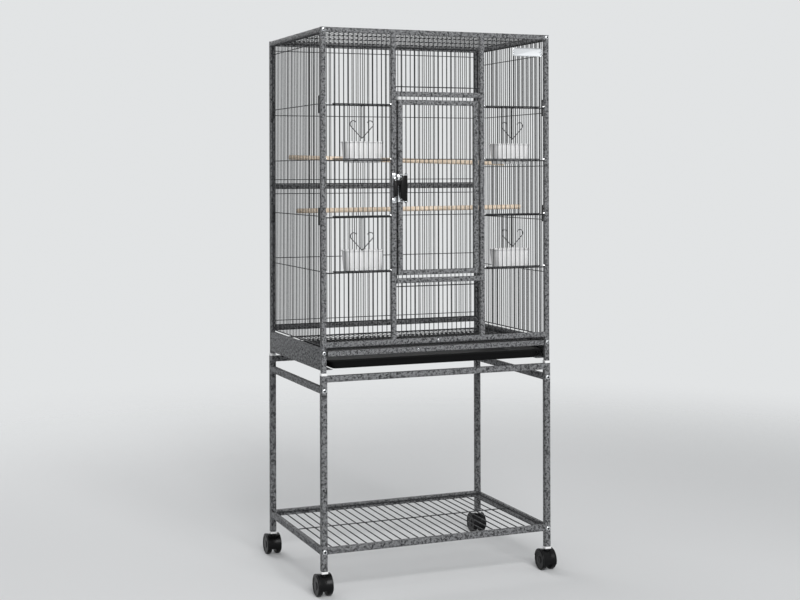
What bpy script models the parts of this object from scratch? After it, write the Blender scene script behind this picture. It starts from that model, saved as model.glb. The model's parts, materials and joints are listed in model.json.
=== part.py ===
"""Flight cage for parrots on a rolling stand.

Metres, +Z up. The origin is on the floor, midway between the four legs.
+X runs to the right along the front, and the front faces -Y.
"""
import math

import bmesh
import bpy
from mathutils import Matrix, Vector

# Overall size
HEIGHT = 1.350
LEG_X = 0.2975
LEG_Y = 0.2055
LEG_TUBE = 0.015
POST_TUBE = 0.012
FIT = 0.0003
WELD = 0.002

# Stand
LEG_BOTTOM = 0.0597
LEG_TOP = 0.522
SIDE_BAR_Z = 0.487
SHELF_RAIL_Z = 0.1071
SHELF_SIDE_Z = 0.1056
SHELF_PITCH = 0.0225
SHELF_WIRES = 25
SHELF_WIRE = 0.003
SHELF_FRAME_WIRE = 0.004
TUBE_POCKET = 0.0124
POST_POCKET = 0.0090
POCKET_DEPTH = 0.020

# Cage frame
POST_BOTTOM = 0.529
RAIL_LOW_Z = 0.595
RAIL_TOP_Z = HEIGHT - POST_TUBE / 2
RAIL_MID_Z = 0.967
DOOR_POST_X = 0.118
HEADER_Z = 1.1945
SILL_Z = 0.742

# Wires: a bar gap of about 10 mm
WIRE = 0.002
EDGE_WIRE = 0.003
PITCH = 0.01213
BAY_FIRST_X = 0.1356
BAY_GATE_WIRES = 10
BAY_GUIDES = (0, 11, 12)
SIDE_HORIZONTALS = (0.768, 0.900, 1.035, 1.169, 1.315)
SIDE_DROP_RIGHT = 0.0155
BACK_UPPER = (0.986, 1.155, 1.325)
BACK_LOWER = (0.615, 0.780, 0.949)
HOOK_TABS = (0.900, 1.167)

# Door
DOOR_X = 0.107
DOOR_LOW = 0.7555
DOOR_HIGH = 1.1805
DOOR_HINGE_X = 0.0875
DOOR_HORIZONTALS = (0.901, 1.0365)
PIN_RADIUS = 0.002
PIN_REACH = 0.0060

# Feeder openings: the lower edge of each, and the height of its gate
FEEDER_LOW = (0.7665, 1.0345)
FEEDER_OPEN = 0.1290
GATE_HEIGHT = 0.1314
GATE_Y = -0.2114

# Seed cups, by side, and how far each one hangs below the wire that it hooks over
CUP_X = {"left": -0.1880, "right": 0.2090}
CUP_DROP = {"lower_left": 0.0, "lower_right": 0.0053, "upper_left": 0.0068, "upper_right": 0.0100}
CUP_WIDTH = 0.101
CUP_DEPTH = 0.052
CUP_HEIGHT = 0.050
CUP_WALL = 0.002
CUP_TAPER = (0.93, 0.92)
CUP_CORNER = 0.011
CUP_LIP = 0.0025
HOOK_OFFSET = 0.024
HOOK_WIDE = 0.008
HOOK_HIGH = 0.004

# Anchor-shaped clips that hang between two wires of the gate
CLIP_X = {"left": -0.1990, "right": 0.2023}
CLIP_WIRE = 0.002

# Tray, grate and the two folded runners that carry them
RUNNER_LOW = 0.5345
RUNNER_HIGH = 0.5860
RUNNER_SHEET = 0.0015
TRAY_RIM_X = 0.2885
TRAY_BASE_X = 0.2770
TRAY_LOW = 0.5366
TRAY_HIGH = 0.5590
GRATE_X = 0.288
GRATE_BAR_Z = 0.574
GRATE_WIRE_Z = 0.5705

# Perches: each end as (y, z), left then right
PERCH_RADIUS = 0.006
PERCH_REACH = 0.2959
UPPER_PERCH = ((0.0668, 1.0435), (0.0306, 1.0280))
LOWER_PERCH = ((-0.0006, 0.9085), (-0.0653, 0.9140))

# Casters
WHEEL_RADIUS = 0.0250
WHEEL_IN = 0.0065
WHEEL_OUT = 0.0193
CASTER_TRAIL = 0.007
HOOD_INNER = 0.0257
HOOD_OUTER = 0.0278
HOOD_WAIST = 0.0262
HOOD_HALF = 0.0174
WEB_HALF = 0.0045
BOSS_TOP = 0.0535
STEM_RADIUS = 0.004
STEM_TOP = 0.0785
AXLE_RADIUS = 0.0025

CORNERS = {
    "front_left": (-1, -1),
    "front_right": (1, -1),
    "back_left": (-1, 1),
    "back_right": (1, 1),
}


def clear_scene():
    for old in list(bpy.data.objects):
        bpy.data.objects.remove(old, do_unlink=True)


def new_material(name, colour, roughness, metallic):
    """A Principled surface with one plain colour, given as linear RGB."""
    made = bpy.data.materials.new(name)
    made.use_nodes = True
    shader = made.node_tree.nodes["Principled BSDF"]
    shader.inputs["Base Color"].default_value = (*colour, 1.0)
    shader.inputs["Roughness"].default_value = roughness
    shader.inputs["Metallic"].default_value = metallic
    return made


clear_scene()
cage = bpy.data.collections.new("parrot_cage")
bpy.context.scene.collection.children.link(cage)

COAT = new_material("hammered_powder_coat", (0.080, 0.080, 0.082), 0.45, 0.30)
WIRE_COAT = new_material("wire_powder_coat", (0.090, 0.090, 0.092), 0.45, 0.30)
WHITE = new_material("white_plastic", (0.80, 0.80, 0.78), 0.40, 0.0)
BLACK = new_material("black_plastic", (0.010, 0.010, 0.011), 0.25, 0.0)
TRAY_BLACK = new_material("tray_plastic", (0.012, 0.012, 0.012), 0.40, 0.0)
CHROME = new_material("chrome_plate", (0.75, 0.75, 0.76), 0.15, 1.0)
PINE = new_material("pine_dowel", (0.62, 0.45, 0.28), 0.60, 0.0)


# Solids added to a bmesh

def add_box(bm, low, high):
    size = [b - a for a, b in zip(low, high)]
    middle = [(a + b) / 2 for a, b in zip(low, high)]
    place = Matrix.Translation(middle) @ Matrix.Diagonal((*size, 1.0))
    bmesh.ops.create_cube(bm, size=1.0, matrix=place)


def add_bar(bm, axis, start, end, centre, size):
    """A square bar along an axis; centre holds the two other coordinates."""
    low = [c - size / 2 for c in centre]
    high = [c + size / 2 for c in centre]
    low.insert(axis, start)
    high.insert(axis, end)
    add_box(bm, low, high)


def add_rod(bm, start, end, radius, sides, end_radius=None):
    start, end = Vector(start), Vector(end)
    along = end - start
    turn = along.to_track_quat("Z", "Y").to_matrix().to_4x4()
    place = Matrix.Translation((start + end) / 2) @ turn
    bmesh.ops.create_cone(
        bm, cap_ends=True, segments=sides, radius1=radius,
        radius2=radius if end_radius is None else end_radius,
        depth=along.length, matrix=place,
    )


def add_turned(bm, profile, centre, axis, steps, closed):
    """Turn a profile of (along, radius) points about an axis through centre."""
    axis, centre = Vector(axis), Vector(centre)
    out = axis.orthogonal().normalized()
    verts = [bm.verts.new(centre + axis * a + out * r) for a, r in profile]
    pairs = list(zip(verts, verts[1:]))
    if closed:
        pairs.append((verts[-1], verts[0]))
    edges = [bm.edges.new(pair) for pair in pairs]
    bmesh.ops.spin(bm, geom=verts + edges, cent=centre, axis=axis,
                   angle=2 * math.pi, steps=steps, use_merge=True)
    bmesh.ops.remove_doubles(bm, verts=bm.verts, dist=1e-6)


def add_prism(bm, outline, place, low, high):
    """Extrude a closed outline from low to high; place turns (u, v, w) into a point."""
    face = bm.faces.new([bm.verts.new(place(u, v, low)) for u, v in outline])
    made = bmesh.ops.extrude_face_region(bm, geom=[face])
    moved = [v for v in made["geom"] if isinstance(v, bmesh.types.BMVert)]
    shift = Vector(place(0, 0, high)) - Vector(place(0, 0, low))
    bmesh.ops.translate(bm, verts=moved, vec=shift)


def along_y(x, z, y):
    return (x, y, z)


def along_x(y, z, x):
    return (x, y, z)


def along_z(x, y, z):
    return (x, y, z)


def arc(radius, start, end, steps, centre=(0.0, 0.0)):
    """Points on an arc, with its angles in degrees."""
    points = []
    for step in range(steps + 1):
        angle = math.radians(start + (end - start) * step / steps)
        points.append((centre[0] + radius * math.cos(angle),
                       centre[1] + radius * math.sin(angle)))
    return points


# Objects

def make(name, bm, material, smooth=False):
    bmesh.ops.recalc_face_normals(bm, faces=bm.faces)
    mesh = bpy.data.meshes.new(name)
    bm.to_mesh(mesh)
    bm.free()
    made = bpy.data.objects.new(name, mesh)
    cage.objects.link(made)
    made.data.materials.append(material)
    if smooth:
        round_off(made)
    return made


def round_off(thing):
    thing.data.shade_smooth()
    thing.data.set_sharp_from_angle(angle=math.radians(35))


def boolean(target, bm, operation):
    """Join bm to the target, or cut it from it, and keep the result as the mesh."""
    other = make("operand", bm, target.data.materials[0])
    modifier = target.modifiers.new(operation.lower(), "BOOLEAN")
    modifier.operation = operation
    modifier.solver = "EXACT"
    modifier.object = other
    graph = bpy.context.evaluated_depsgraph_get()
    result = bpy.data.meshes.new_from_object(target.evaluated_get(graph))
    target.modifiers.clear()
    before = target.data
    target.data = result
    result.name = target.name
    spare = other.data
    bpy.data.objects.remove(other)
    bpy.data.meshes.remove(spare)
    bpy.data.meshes.remove(before)
    return target


def join(target, bm):
    return boolean(target, bm, "UNION")


def cut(target, bm):
    return boolean(target, bm, "DIFFERENCE")


def set_origin(thing, point):
    """Put the object's origin on its joint axis without moving its shape."""
    thing.data.transform(Matrix.Translation(-Vector(point)))
    thing.location = point
    return thing


def copy_of(thing, name, place):
    made = bpy.data.objects.new(name, thing.data)
    made.location = place
    cage.objects.link(made)
    return made


# Stand: two welded ladder frames, bolted together by bars along the sides

def stand_frame(name, side):
    y = side * LEG_Y
    bm = bmesh.new()
    for x in (-LEG_X, LEG_X):
        add_bar(bm, 2, LEG_BOTTOM, LEG_TOP, (x, y), LEG_TUBE)
    frame = make(name, bm, COAT)
    bm = bmesh.new()
    reach = LEG_X - LEG_TUBE / 2 + WELD
    for z in (LEG_TOP - LEG_TUBE / 2, SHELF_RAIL_Z):
        add_bar(bm, 0, -reach, reach, (y, z), LEG_TUBE)
    join(frame, bm)
    bm = bmesh.new()
    for x in (-LEG_X, LEG_X):
        add_bar(bm, 2, LEG_TOP - POCKET_DEPTH, LEG_TOP + WELD, (x, y), TUBE_POCKET)
        add_bar(bm, 2, LEG_BOTTOM - WELD, LEG_BOTTOM + 1.3 * POCKET_DEPTH, (x, y), TUBE_POCKET)
    return cut(frame, bm)


def stand_side_bar(name, side):
    reach = LEG_Y - LEG_TUBE / 2 - FIT
    bm = bmesh.new()
    add_bar(bm, 1, -reach, reach, (side * LEG_X, SIDE_BAR_Z), LEG_TUBE)
    return make(name, bm, COAT)


LEDGE_WIDE = 0.006
LEDGE_DEEP = 0.0065


def shelf_side_rail(name, side):
    """A tube with a rebate along its inner top edge, where the shelf lies."""
    half = LEG_TUBE / 2
    top = SHELF_SIDE_Z + half
    outline = [(-half, -half), (half, -half), (half, half - LEDGE_DEEP),
               (half - LEDGE_WIDE, half - LEDGE_DEEP), (half - LEDGE_WIDE, half), (-half, half)]
    reach = LEG_Y - half - FIT
    bm = bmesh.new()
    points = [(side * (LEG_X - u), top - half + v) for u, v in outline]
    add_prism(bm, points, along_y, -reach, reach)
    return make(name, bm, COAT)


def shelf():
    """Loose wire shelf: a rim of thick wire, wires front to back and a stiffener across."""
    ledge = SHELF_SIDE_Z + LEG_TUBE / 2 - LEDGE_DEEP
    thick = SHELF_FRAME_WIRE
    z = ledge + FIT + thick / 2
    reach = LEG_Y - LEG_TUBE / 2 - FIT
    edge_x = LEG_X - LEG_TUBE / 2 + LEDGE_WIDE / 2
    edge_y = reach - thick / 2
    bm = bmesh.new()
    for x in (-edge_x, edge_x):
        add_bar(bm, 1, -reach, reach, (x, z), thick)
    mat = make("shelf_mesh", bm, WIRE_COAT)
    bm = bmesh.new()
    for y in (-edge_y, edge_y):
        add_bar(bm, 0, -edge_x, edge_x, (y, z), thick - 0.0002)
    join(mat, bm)
    bm = bmesh.new()
    for n in range(SHELF_WIRES):
        x = (n - (SHELF_WIRES - 1) / 2) * SHELF_PITCH
        add_bar(bm, 1, -edge_y, edge_y, (x, z - 0.0003), SHELF_WIRE)
    stiffener = 0.0026
    above = z - 0.0003 + SHELF_WIRE / 2 + FIT + stiffener / 2
    add_bar(bm, 0, -edge_x, edge_x, (0.0, above), stiffener)
    return join(mat, bm)


# White plastic plugs at both ends of each leg

def leg_sleeve(name, x, y):
    """Plug between a leg and the cage post that stands on it."""
    half = LEG_TUBE / 2
    plug = TUBE_POCKET / 2 - FIT
    spigot = POST_POCKET / 2 - FIT
    bm = bmesh.new()
    add_box(bm, (x - half, y - half, LEG_TOP + FIT), (x + half, y + half, POST_BOTTOM - FIT))
    made = make(name, bm, WHITE)
    bm = bmesh.new()
    add_box(bm, (x - plug, y - plug, LEG_TOP - 0.016), (x + plug, y + plug, LEG_TOP + 0.003))
    join(made, bm)
    bm = bmesh.new()
    add_box(bm, (x - spigot, y - spigot, POST_BOTTOM - 0.003),
            (x + spigot, y + spigot, POST_BOTTOM + 0.016))
    return join(made, bm)


SOCKET_HALF = 0.0082
SOCKET_TOP = LEG_BOTTOM + 0.022


def caster_socket(name, x, y):
    """Plug in the foot of a leg, bored for the caster's stem."""
    plug = TUBE_POCKET / 2 - FIT
    bm = bmesh.new()
    add_box(bm, (x - SOCKET_HALF, y - SOCKET_HALF, BOSS_TOP + FIT),
            (x + SOCKET_HALF, y + SOCKET_HALF, LEG_BOTTOM - FIT))
    made = make(name, bm, WHITE)
    bm = bmesh.new()
    add_box(bm, (x - plug, y - plug, LEG_BOTTOM - 0.003), (x + plug, y + plug, SOCKET_TOP))
    join(made, bm)
    bm = bmesh.new()
    add_rod(bm, (x, y, BOSS_TOP - 0.002), (x, y, STEM_TOP + FIT), STEM_RADIUS + FIT, 12)
    return cut(made, bm)


# Casters: twin wheels under a hood, on a stem that swivels

HOOD_FRONT = 199.0
HOOD_BACK = 12.0
HOOD_STEPS = 11
HUB_RADIUS = 0.0075
WEB_SHORT = 6.0
BOSS_RADIUS = 0.0062
BOSS_LOW = 0.0495
NOTCH_HALF = 0.0075
NOTCH_LOW = 0.034
NOTCH_FLOOR = 0.0250


def hood_shell(bm, axle):
    """Turn the hood's section, drawn in at the middle, over the wheels."""
    inner_waist = HOOD_WAIST - 0.0030
    half = [(0.0, HOOD_WAIST), (0.0050, HOOD_WAIST + 0.0003), (0.0110, HOOD_OUTER - 0.0004),
            (HOOD_HALF, HOOD_OUTER), (HOOD_HALF, HOOD_INNER), (WHEEL_IN + 0.0025, HOOD_INNER),
            (WHEEL_IN - 0.0005, inner_waist)]
    section = half + [(-x, r) for x, r in reversed(half[1:])]
    front = math.radians(HOOD_FRONT)
    verts = [bm.verts.new((x, axle[0] + r * math.cos(front), axle[1] + r * math.sin(front)))
             for x, r in section]
    face = bm.faces.new(verts)
    sweep = math.radians(HOOD_BACK - HOOD_FRONT)
    bmesh.ops.spin(bm, geom=[face, *face.edges, *face.verts], cent=(0, *axle), axis=(1, 0, 0),
                   angle=sweep, steps=HOOD_STEPS)


def hood_mesh_object(name):
    """Hood with its origin on the stem's axis; the wheels trail towards +Y."""
    axle = (CASTER_TRAIL, WHEEL_RADIUS)
    bm = bmesh.new()
    hood_shell(bm, axle)
    hood = make(name, bm, BLACK)
    middle = HOOD_WAIST - 0.0020
    web = arc(middle, HOOD_FRONT - WEB_SHORT, HOOD_BACK + WEB_SHORT, HOOD_STEPS - 1, axle)
    hub = arc(HUB_RADIUS, 0, -150, 5, axle)
    bm = bmesh.new()
    add_prism(bm, web + hub, along_x, -WEB_HALF, WEB_HALF)
    join(hood, bm)
    bm = bmesh.new()
    notch = [(0.0, NOTCH_LOW), (NOTCH_HALF, BOSS_TOP), (-NOTCH_HALF, BOSS_TOP)]
    add_prism(bm, notch, along_y, -0.030, -0.001)
    wedge = make("notch_wedge", bm, BLACK)
    bm = bmesh.new()
    add_rod(bm, (-HOOD_HALF, *axle), (HOOD_HALF, *axle), NOTCH_FLOOR, 36)
    cut(wedge, bm)
    bm = bmesh.new()
    bm.from_mesh(wedge.data)
    bpy.data.objects.remove(wedge)
    cut(hood, bm)
    bm = bmesh.new()
    add_rod(bm, (0, 0, BOSS_LOW), (0, 0, BOSS_TOP), BOSS_RADIUS, 14)
    join(hood, bm)
    bm = bmesh.new()
    add_rod(bm, (0, 0, BOSS_LOW + 0.001), (0, 0, STEM_TOP), STEM_RADIUS, 12)
    join(hood, bm)
    bm = bmesh.new()
    add_rod(bm, (-HOOD_HALF, *axle), (HOOD_HALF, *axle), AXLE_RADIUS + FIT, 10)
    cut(hood, bm)
    round_off(hood)
    return hood


def wheel_pair_object(name):
    """Two wheels on their axle, with the origin at the axle's middle."""
    rim = WHEEL_RADIUS
    profile = [(WHEEL_IN, 0.0), (WHEEL_IN, rim - 0.0025), (WHEEL_IN + 0.0025, rim),
               (WHEEL_OUT - 0.0030, rim), (WHEEL_OUT - 0.0008, rim - 0.0025),
               (WHEEL_OUT, rim / 2), (WHEEL_OUT, 0.0)]
    bm = bmesh.new()
    for side in (-1, 1):
        add_turned(bm, profile, (0, 0, 0), (side, 0, 0), 20, closed=False)
    # A vertex of the turned rim points straight down, so the wheel stands at its full radius
    made = make(name, bm, BLACK)
    lowest = min(v.co.z for v in made.data.vertices)
    made.data.transform(Matrix.Rotation(math.radians(9.0) if lowest > -rim + 1e-6 else 0.0, 4, "X"))
    bm = bmesh.new()
    add_rod(bm, (-WHEEL_IN - 0.003, 0, 0), (WHEEL_IN + 0.003, 0, 0), AXLE_RADIUS, 10)
    join(made, bm)
    round_off(made)
    return made


# Cage frame: front and back welded panels of square tube

def post_pockets(frame, y):
    bm = bmesh.new()
    for x in (-LEG_X, LEG_X):
        add_bar(bm, 2, POST_BOTTOM - WELD, POST_BOTTOM + POCKET_DEPTH, (x, y), POST_POCKET)
    return cut(frame, bm)


def front_frame():
    y = -LEG_Y
    bm = bmesh.new()
    for x in (-LEG_X, LEG_X):
        add_bar(bm, 2, POST_BOTTOM, HEIGHT, (x, y), POST_TUBE)
    for x in (-DOOR_POST_X, DOOR_POST_X):
        add_bar(bm, 2, RAIL_LOW_Z, RAIL_TOP_Z, (x, y), POST_TUBE)
    frame = make("front_frame", bm, COAT)
    bm = bmesh.new()
    reach = LEG_X - POST_TUBE / 2 + WELD
    for z in (RAIL_LOW_Z, RAIL_TOP_Z):
        add_bar(bm, 0, -reach, reach, (y, z), POST_TUBE)
    join(frame, bm)
    bm = bmesh.new()
    reach = DOOR_POST_X - POST_TUBE / 2 + WELD
    for z in (SILL_Z, HEADER_Z):
        add_bar(bm, 0, -reach, reach, (y, z), POST_TUBE)
    for side in (-1, 1):
        for n in BAY_GUIDES:
            x = side * (BAY_FIRST_X + n * PITCH)
            add_bar(bm, 2, RAIL_LOW_Z, RAIL_TOP_Z, (x, y), WIRE)
    join(frame, bm)
    post_pockets(frame, y)
    bm = bmesh.new()
    for z, way in ((HEADER_Z - POST_TUBE / 2, 1), (SILL_Z + POST_TUBE / 2, -1)):
        start = (DOOR_HINGE_X, y, z - way * WELD)
        end = (DOOR_HINGE_X, y, z + way * (PIN_REACH + FIT))
        add_rod(bm, start, end, PIN_RADIUS + FIT, 10)
    return cut(frame, bm)


def back_frame():
    y = LEG_Y
    bm = bmesh.new()
    for x in (-LEG_X, LEG_X):
        add_bar(bm, 2, POST_BOTTOM, HEIGHT, (x, y), POST_TUBE)
    frame = make("back_frame", bm, COAT)
    bm = bmesh.new()
    reach = LEG_X - POST_TUBE / 2 + WELD
    for z in (RAIL_LOW_Z, RAIL_MID_Z, RAIL_TOP_Z):
        add_bar(bm, 0, -reach, reach, (y, z), POST_TUBE)
    join(frame, bm)
    return post_pockets(frame, y)


# Wire grilles

def front_grille(name, xs, low, high, edges, reach):
    """Upright wires at xs, welded to edge wires at the given heights."""
    y = -LEG_Y
    bm = bmesh.new()
    for z in edges:
        add_bar(bm, 0, reach[0], reach[1], (y, z), EDGE_WIRE)
    made = make(name, bm, WIRE_COAT)
    bm = bmesh.new()
    for x in xs:
        add_bar(bm, 2, low, high, (x, y), WIRE)
    return join(made, bm)


def bay_grilles(word, side):
    """The fixed wires above, between and below the two feeder openings of a bay."""
    xs = [side * (BAY_FIRST_X + n * PITCH) for n in range(1, BAY_GATE_WIRES + 1)]
    clear = WIRE / 2 + FIT
    ends = sorted((side * (BAY_FIRST_X + clear),
                   side * (BAY_FIRST_X + BAY_GUIDES[1] * PITCH - clear)))
    half = EDGE_WIRE / 2
    low_edges = [z - half for z in FEEDER_LOW]
    high_edges = [z + FEEDER_OPEN + half for z in FEEDER_LOW]
    floor = RAIL_LOW_Z + POST_TUBE / 2 + FIT
    ceiling = RAIL_TOP_Z - POST_TUBE / 2 - FIT
    front_grille(word + "_bay_low_wires", xs, floor, low_edges[0], [low_edges[0]], ends)
    front_grille(word + "_bay_mid_wires", xs, high_edges[0], low_edges[1],
                 [high_edges[0], low_edges[1]], ends)
    front_grille(word + "_bay_high_wires", xs, high_edges[1], ceiling, [high_edges[1]], ends)


def centre_grilles():
    """Wires over and under the door."""
    xs = [n * PITCH for n in range(-8, 9)]
    side = DOOR_POST_X - POST_TUBE / 2 - FIT
    half = POST_TUBE / 2 + FIT
    front_grille("header_wires", xs, HEADER_Z + half, RAIL_TOP_Z - half,
                 [1.212], (-side, side))
    front_grille("sill_wires", xs, RAIL_LOW_Z + half, SILL_Z - half,
                 [0.728], (-side, side))


def back_wires(name, low, high, horizontals):
    """Upright wires on an edge wire, with spacer wires on the inner side."""
    y = LEG_Y
    half = POST_TUBE / 2 + FIT
    low, high = low + half, high - half
    side = LEG_X - half
    inset = EDGE_WIRE / 2
    bm = bmesh.new()
    add_bar(bm, 0, -side, side, (y, low + inset), EDGE_WIRE)
    made = make(name, bm, WIRE_COAT)
    bm = bmesh.new()
    for n in range(-23, 24):
        add_bar(bm, 2, low + inset, high, (n * PITCH, y), WIRE)
    for x in (-side + inset, side - inset):
        add_bar(bm, 2, low + inset, high, (x, y), EDGE_WIRE - 0.0002)
    join(made, bm)
    bm = bmesh.new()
    for z in horizontals:
        add_bar(bm, 0, -side + inset, side - inset, (y - WIRE - FIT, z), WIRE)
    return join(made, bm)


def side_panel(name, side, horizontals):
    """A wire mat hooked between the corner posts, with hook plates on its edges."""
    x = side * LEG_X
    low = RUNNER_HIGH + 0.0045
    high = HEIGHT - POST_TUBE - FIT
    reach = LEG_Y - POST_TUBE / 2 - FIT
    inset = EDGE_WIRE / 2
    bm = bmesh.new()
    add_bar(bm, 1, -reach, reach, (x, low + inset), EDGE_WIRE)
    made = make(name, bm, WIRE_COAT)
    bm = bmesh.new()
    for n in range(-15, 16):
        add_bar(bm, 2, low + inset, high, (x, n * PITCH), WIRE)
    for y in (-reach + inset, reach - inset):
        add_bar(bm, 2, low + inset, high, (x, y), EDGE_WIRE - 0.0002)
    join(made, bm)
    bm = bmesh.new()
    for z in horizontals:
        add_bar(bm, 1, -reach + inset, reach - inset, (x - side * (WIRE + FIT), z), WIRE)
    join(made, bm)
    bm = bmesh.new()
    for z in HOOK_TABS:
        for end in (-1, 1):
            y0, y1 = sorted((end * reach, end * (reach - 0.007)))
            add_box(bm, (x - 0.0022, y0, z - 0.019), (x + 0.0022, y1, z + 0.019))
    return join(made, bm)


def top_panel():
    """Two side tubes with wires front to back on an edge wire."""
    z = RAIL_TOP_Z
    reach = LEG_Y - POST_TUBE / 2 - FIT
    edge_y = reach - EDGE_WIRE / 2
    bm = bmesh.new()
    for x in (-LEG_X, LEG_X):
        add_bar(bm, 1, -reach, reach, (x, z), POST_TUBE)
    made = make("top_panel", bm, COAT)
    bm = bmesh.new()
    side = LEG_X - POST_TUBE / 2 + WELD
    add_bar(bm, 0, -side, side, (-edge_y, z), EDGE_WIRE)
    below = z - WIRE - FIT
    for y in (-0.100, 0.0, 0.100):
        add_bar(bm, 0, -side, side, (y, below), WIRE)
    join(made, bm)
    bm = bmesh.new()
    for n in range(-23, 24):
        add_bar(bm, 1, -edge_y, reach, (n * PITCH, z), WIRE)
    return join(made, bm)


# Base: folded runners, grate and tray

RUNNER_LIP = 0.0315
RUNNER_LEDGE = 0.0200
RUNNER_HEM = 0.0105


def runner(name, side):
    """Sheet folded into a lip for the tray, a ledge for the grate and a hemmed top."""
    out, sheet = LEG_X + POST_TUBE / 2, RUNNER_SHEET
    ledge = GRATE_WIRE_Z - SHELF_FRAME_WIRE / 2 - FIT
    low, high = RUNNER_LOW, RUNNER_HIGH
    outline = [
        (out, low), (out - RUNNER_LIP, low), (out - RUNNER_LIP, low + sheet),
        (out - sheet, low + sheet), (out - sheet, ledge - sheet),
        (out - RUNNER_LEDGE, ledge - sheet), (out - RUNNER_LEDGE, ledge),
        (out - sheet, ledge), (out - sheet, high - sheet),
        (out - RUNNER_HEM + sheet, high - sheet), (out - RUNNER_HEM + sheet, high - 0.009),
        (out - RUNNER_HEM, high - 0.009), (out - RUNNER_HEM, high), (out, high),
    ]
    reach = LEG_Y - POST_TUBE / 2 - FIT
    bm = bmesh.new()
    add_prism(bm, [(side * x, z) for x, z in outline], along_y, -reach, reach)
    return make(name, bm, COAT)


def grate():
    """Pull-out floor of wires behind a square front bar."""
    front = -LEG_Y
    back = LEG_Y - 0.0115
    edge = SHELF_FRAME_WIRE
    z = GRATE_WIRE_Z
    bm = bmesh.new()
    add_bar(bm, 0, -GRATE_X, GRATE_X, (front, GRATE_BAR_Z), POST_TUBE)
    add_bar(bm, 0, -GRATE_X, GRATE_X, (back, z), edge)
    made = make("grate", bm, WIRE_COAT)
    bm = bmesh.new()
    face = front + POST_TUBE / 2 - WELD
    for n in range(-23, 24):
        add_bar(bm, 1, face, back - edge / 2 - FIT, (n * PITCH, z), WIRE)
    for x in (-GRATE_X + edge / 2 + 0.0002, GRATE_X - edge / 2 - 0.0002):
        add_bar(bm, 1, face, back, (x, z), edge - 0.0002)
    join(made, bm)
    bm = bmesh.new()
    for y in (-0.100, 0.0, 0.100):
        above = z + WIRE / 2 + FIT + WIRE / 2
        add_bar(bm, 0, -GRATE_X + edge / 2, GRATE_X - edge / 2, (y, above), WIRE)
    return join(made, bm)


def tub(name, low, high, taper, corner, lip, wall, material):
    """Open moulded tub: tapered sides, round corners and a turned-out rim."""
    bm = bmesh.new()
    add_box(bm, low, high)
    bm.faces.ensure_lookup_table()
    lid = max(bm.faces, key=lambda face: face.calc_center_median().z)
    bmesh.ops.delete(bm, geom=[lid], context="FACES_ONLY")
    middle = Vector(((low[0] + high[0]) / 2, (low[1] + high[1]) / 2, low[2]))
    base = [v for v in bm.verts if v.co.z < (low[2] + high[2]) / 2]
    bmesh.ops.scale(bm, verts=base, vec=(*taper, 1.0), space=Matrix.Translation(-middle))
    uprights = [e for e in bm.edges if abs(e.verts[0].co.z - e.verts[1].co.z) > 0.001]
    bmesh.ops.bevel(bm, geom=uprights, offset=corner, offset_type="OFFSET", segments=2,
                    profile=0.5, affect="EDGES", material=-1)
    rim = [e for e in bm.edges if e.is_boundary]
    turned = bmesh.ops.extrude_edge_only(bm, edges=rim)
    verts = [v for v in turned["geom"] if isinstance(v, bmesh.types.BMVert)]
    size = Vector(high) - Vector(low)
    grow = (1 + 2 * lip / size.x, 1 + 2 * lip / size.y, 1.0)
    bmesh.ops.scale(bm, verts=verts, vec=grow, space=Matrix.Translation(-middle))
    made = make(name, bm, material)
    shell = made.modifiers.new("wall", "SOLIDIFY")
    shell.thickness = wall
    shell.offset = 0.0
    shell.use_even_offset = True
    graph = bpy.context.evaluated_depsgraph_get()
    result = bpy.data.meshes.new_from_object(made.evaluated_get(graph))
    made.modifiers.clear()
    before = made.data
    made.data = result
    bpy.data.meshes.remove(before)
    round_off(made)
    return made


TRAY_WALL = 0.0020
TRAY_LIP = 0.0060


def tray():
    half = TRAY_WALL / 2
    rim_x = TRAY_RIM_X - TRAY_LIP - half
    front, back = -LEG_Y - 0.004, LEG_Y - 0.013
    base = (TRAY_BASE_X - half) / rim_x
    return tub("tray", (-rim_x, front + TRAY_LIP, TRAY_LOW + half),
               (rim_x, back - TRAY_LIP, TRAY_HIGH - half),
               (base, 0.975), 0.010, TRAY_LIP, TRAY_WALL, TRAY_BLACK)


# Door

def door():
    y = -LEG_Y
    half = POST_TUBE / 2
    bm = bmesh.new()
    for x in (-DOOR_X + half, DOOR_X - half):
        add_bar(bm, 2, DOOR_LOW, DOOR_HIGH, (x, y), POST_TUBE)
    made = make("door", bm, COAT)
    bm = bmesh.new()
    reach = DOOR_X - POST_TUBE + WELD
    for z in (DOOR_LOW + half, DOOR_HIGH - half):
        add_bar(bm, 0, -reach, reach, (y, z), POST_TUBE)
    join(made, bm)
    bm = bmesh.new()
    for n in range(-7, 8):
        add_bar(bm, 2, DOOR_LOW + POST_TUBE - WELD, DOOR_HIGH - POST_TUBE + WELD,
                (n * PITCH, y), WIRE)
    for z in DOOR_HORIZONTALS:
        add_bar(bm, 0, -reach, reach, (y + WIRE + FIT, z), WIRE)
    join(made, bm)
    bm = bmesh.new()
    rail_high = HEADER_Z - half
    rail_low = SILL_Z + half
    add_rod(bm, (DOOR_HINGE_X, y, DOOR_HIGH - 0.004),
            (DOOR_HINGE_X, y, rail_high + PIN_REACH), PIN_RADIUS, 10)
    add_rod(bm, (DOOR_HINGE_X, y, DOOR_LOW + 0.004),
            (DOOR_HINGE_X, y, rail_low - PIN_REACH), PIN_RADIUS, 10)
    join(made, bm)
    return set_origin(made, (DOOR_HINGE_X, y, (DOOR_LOW + DOOR_HIGH) / 2))


# Latch: a strap keeper on the post, a sprung case on the door and a turning lever

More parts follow.
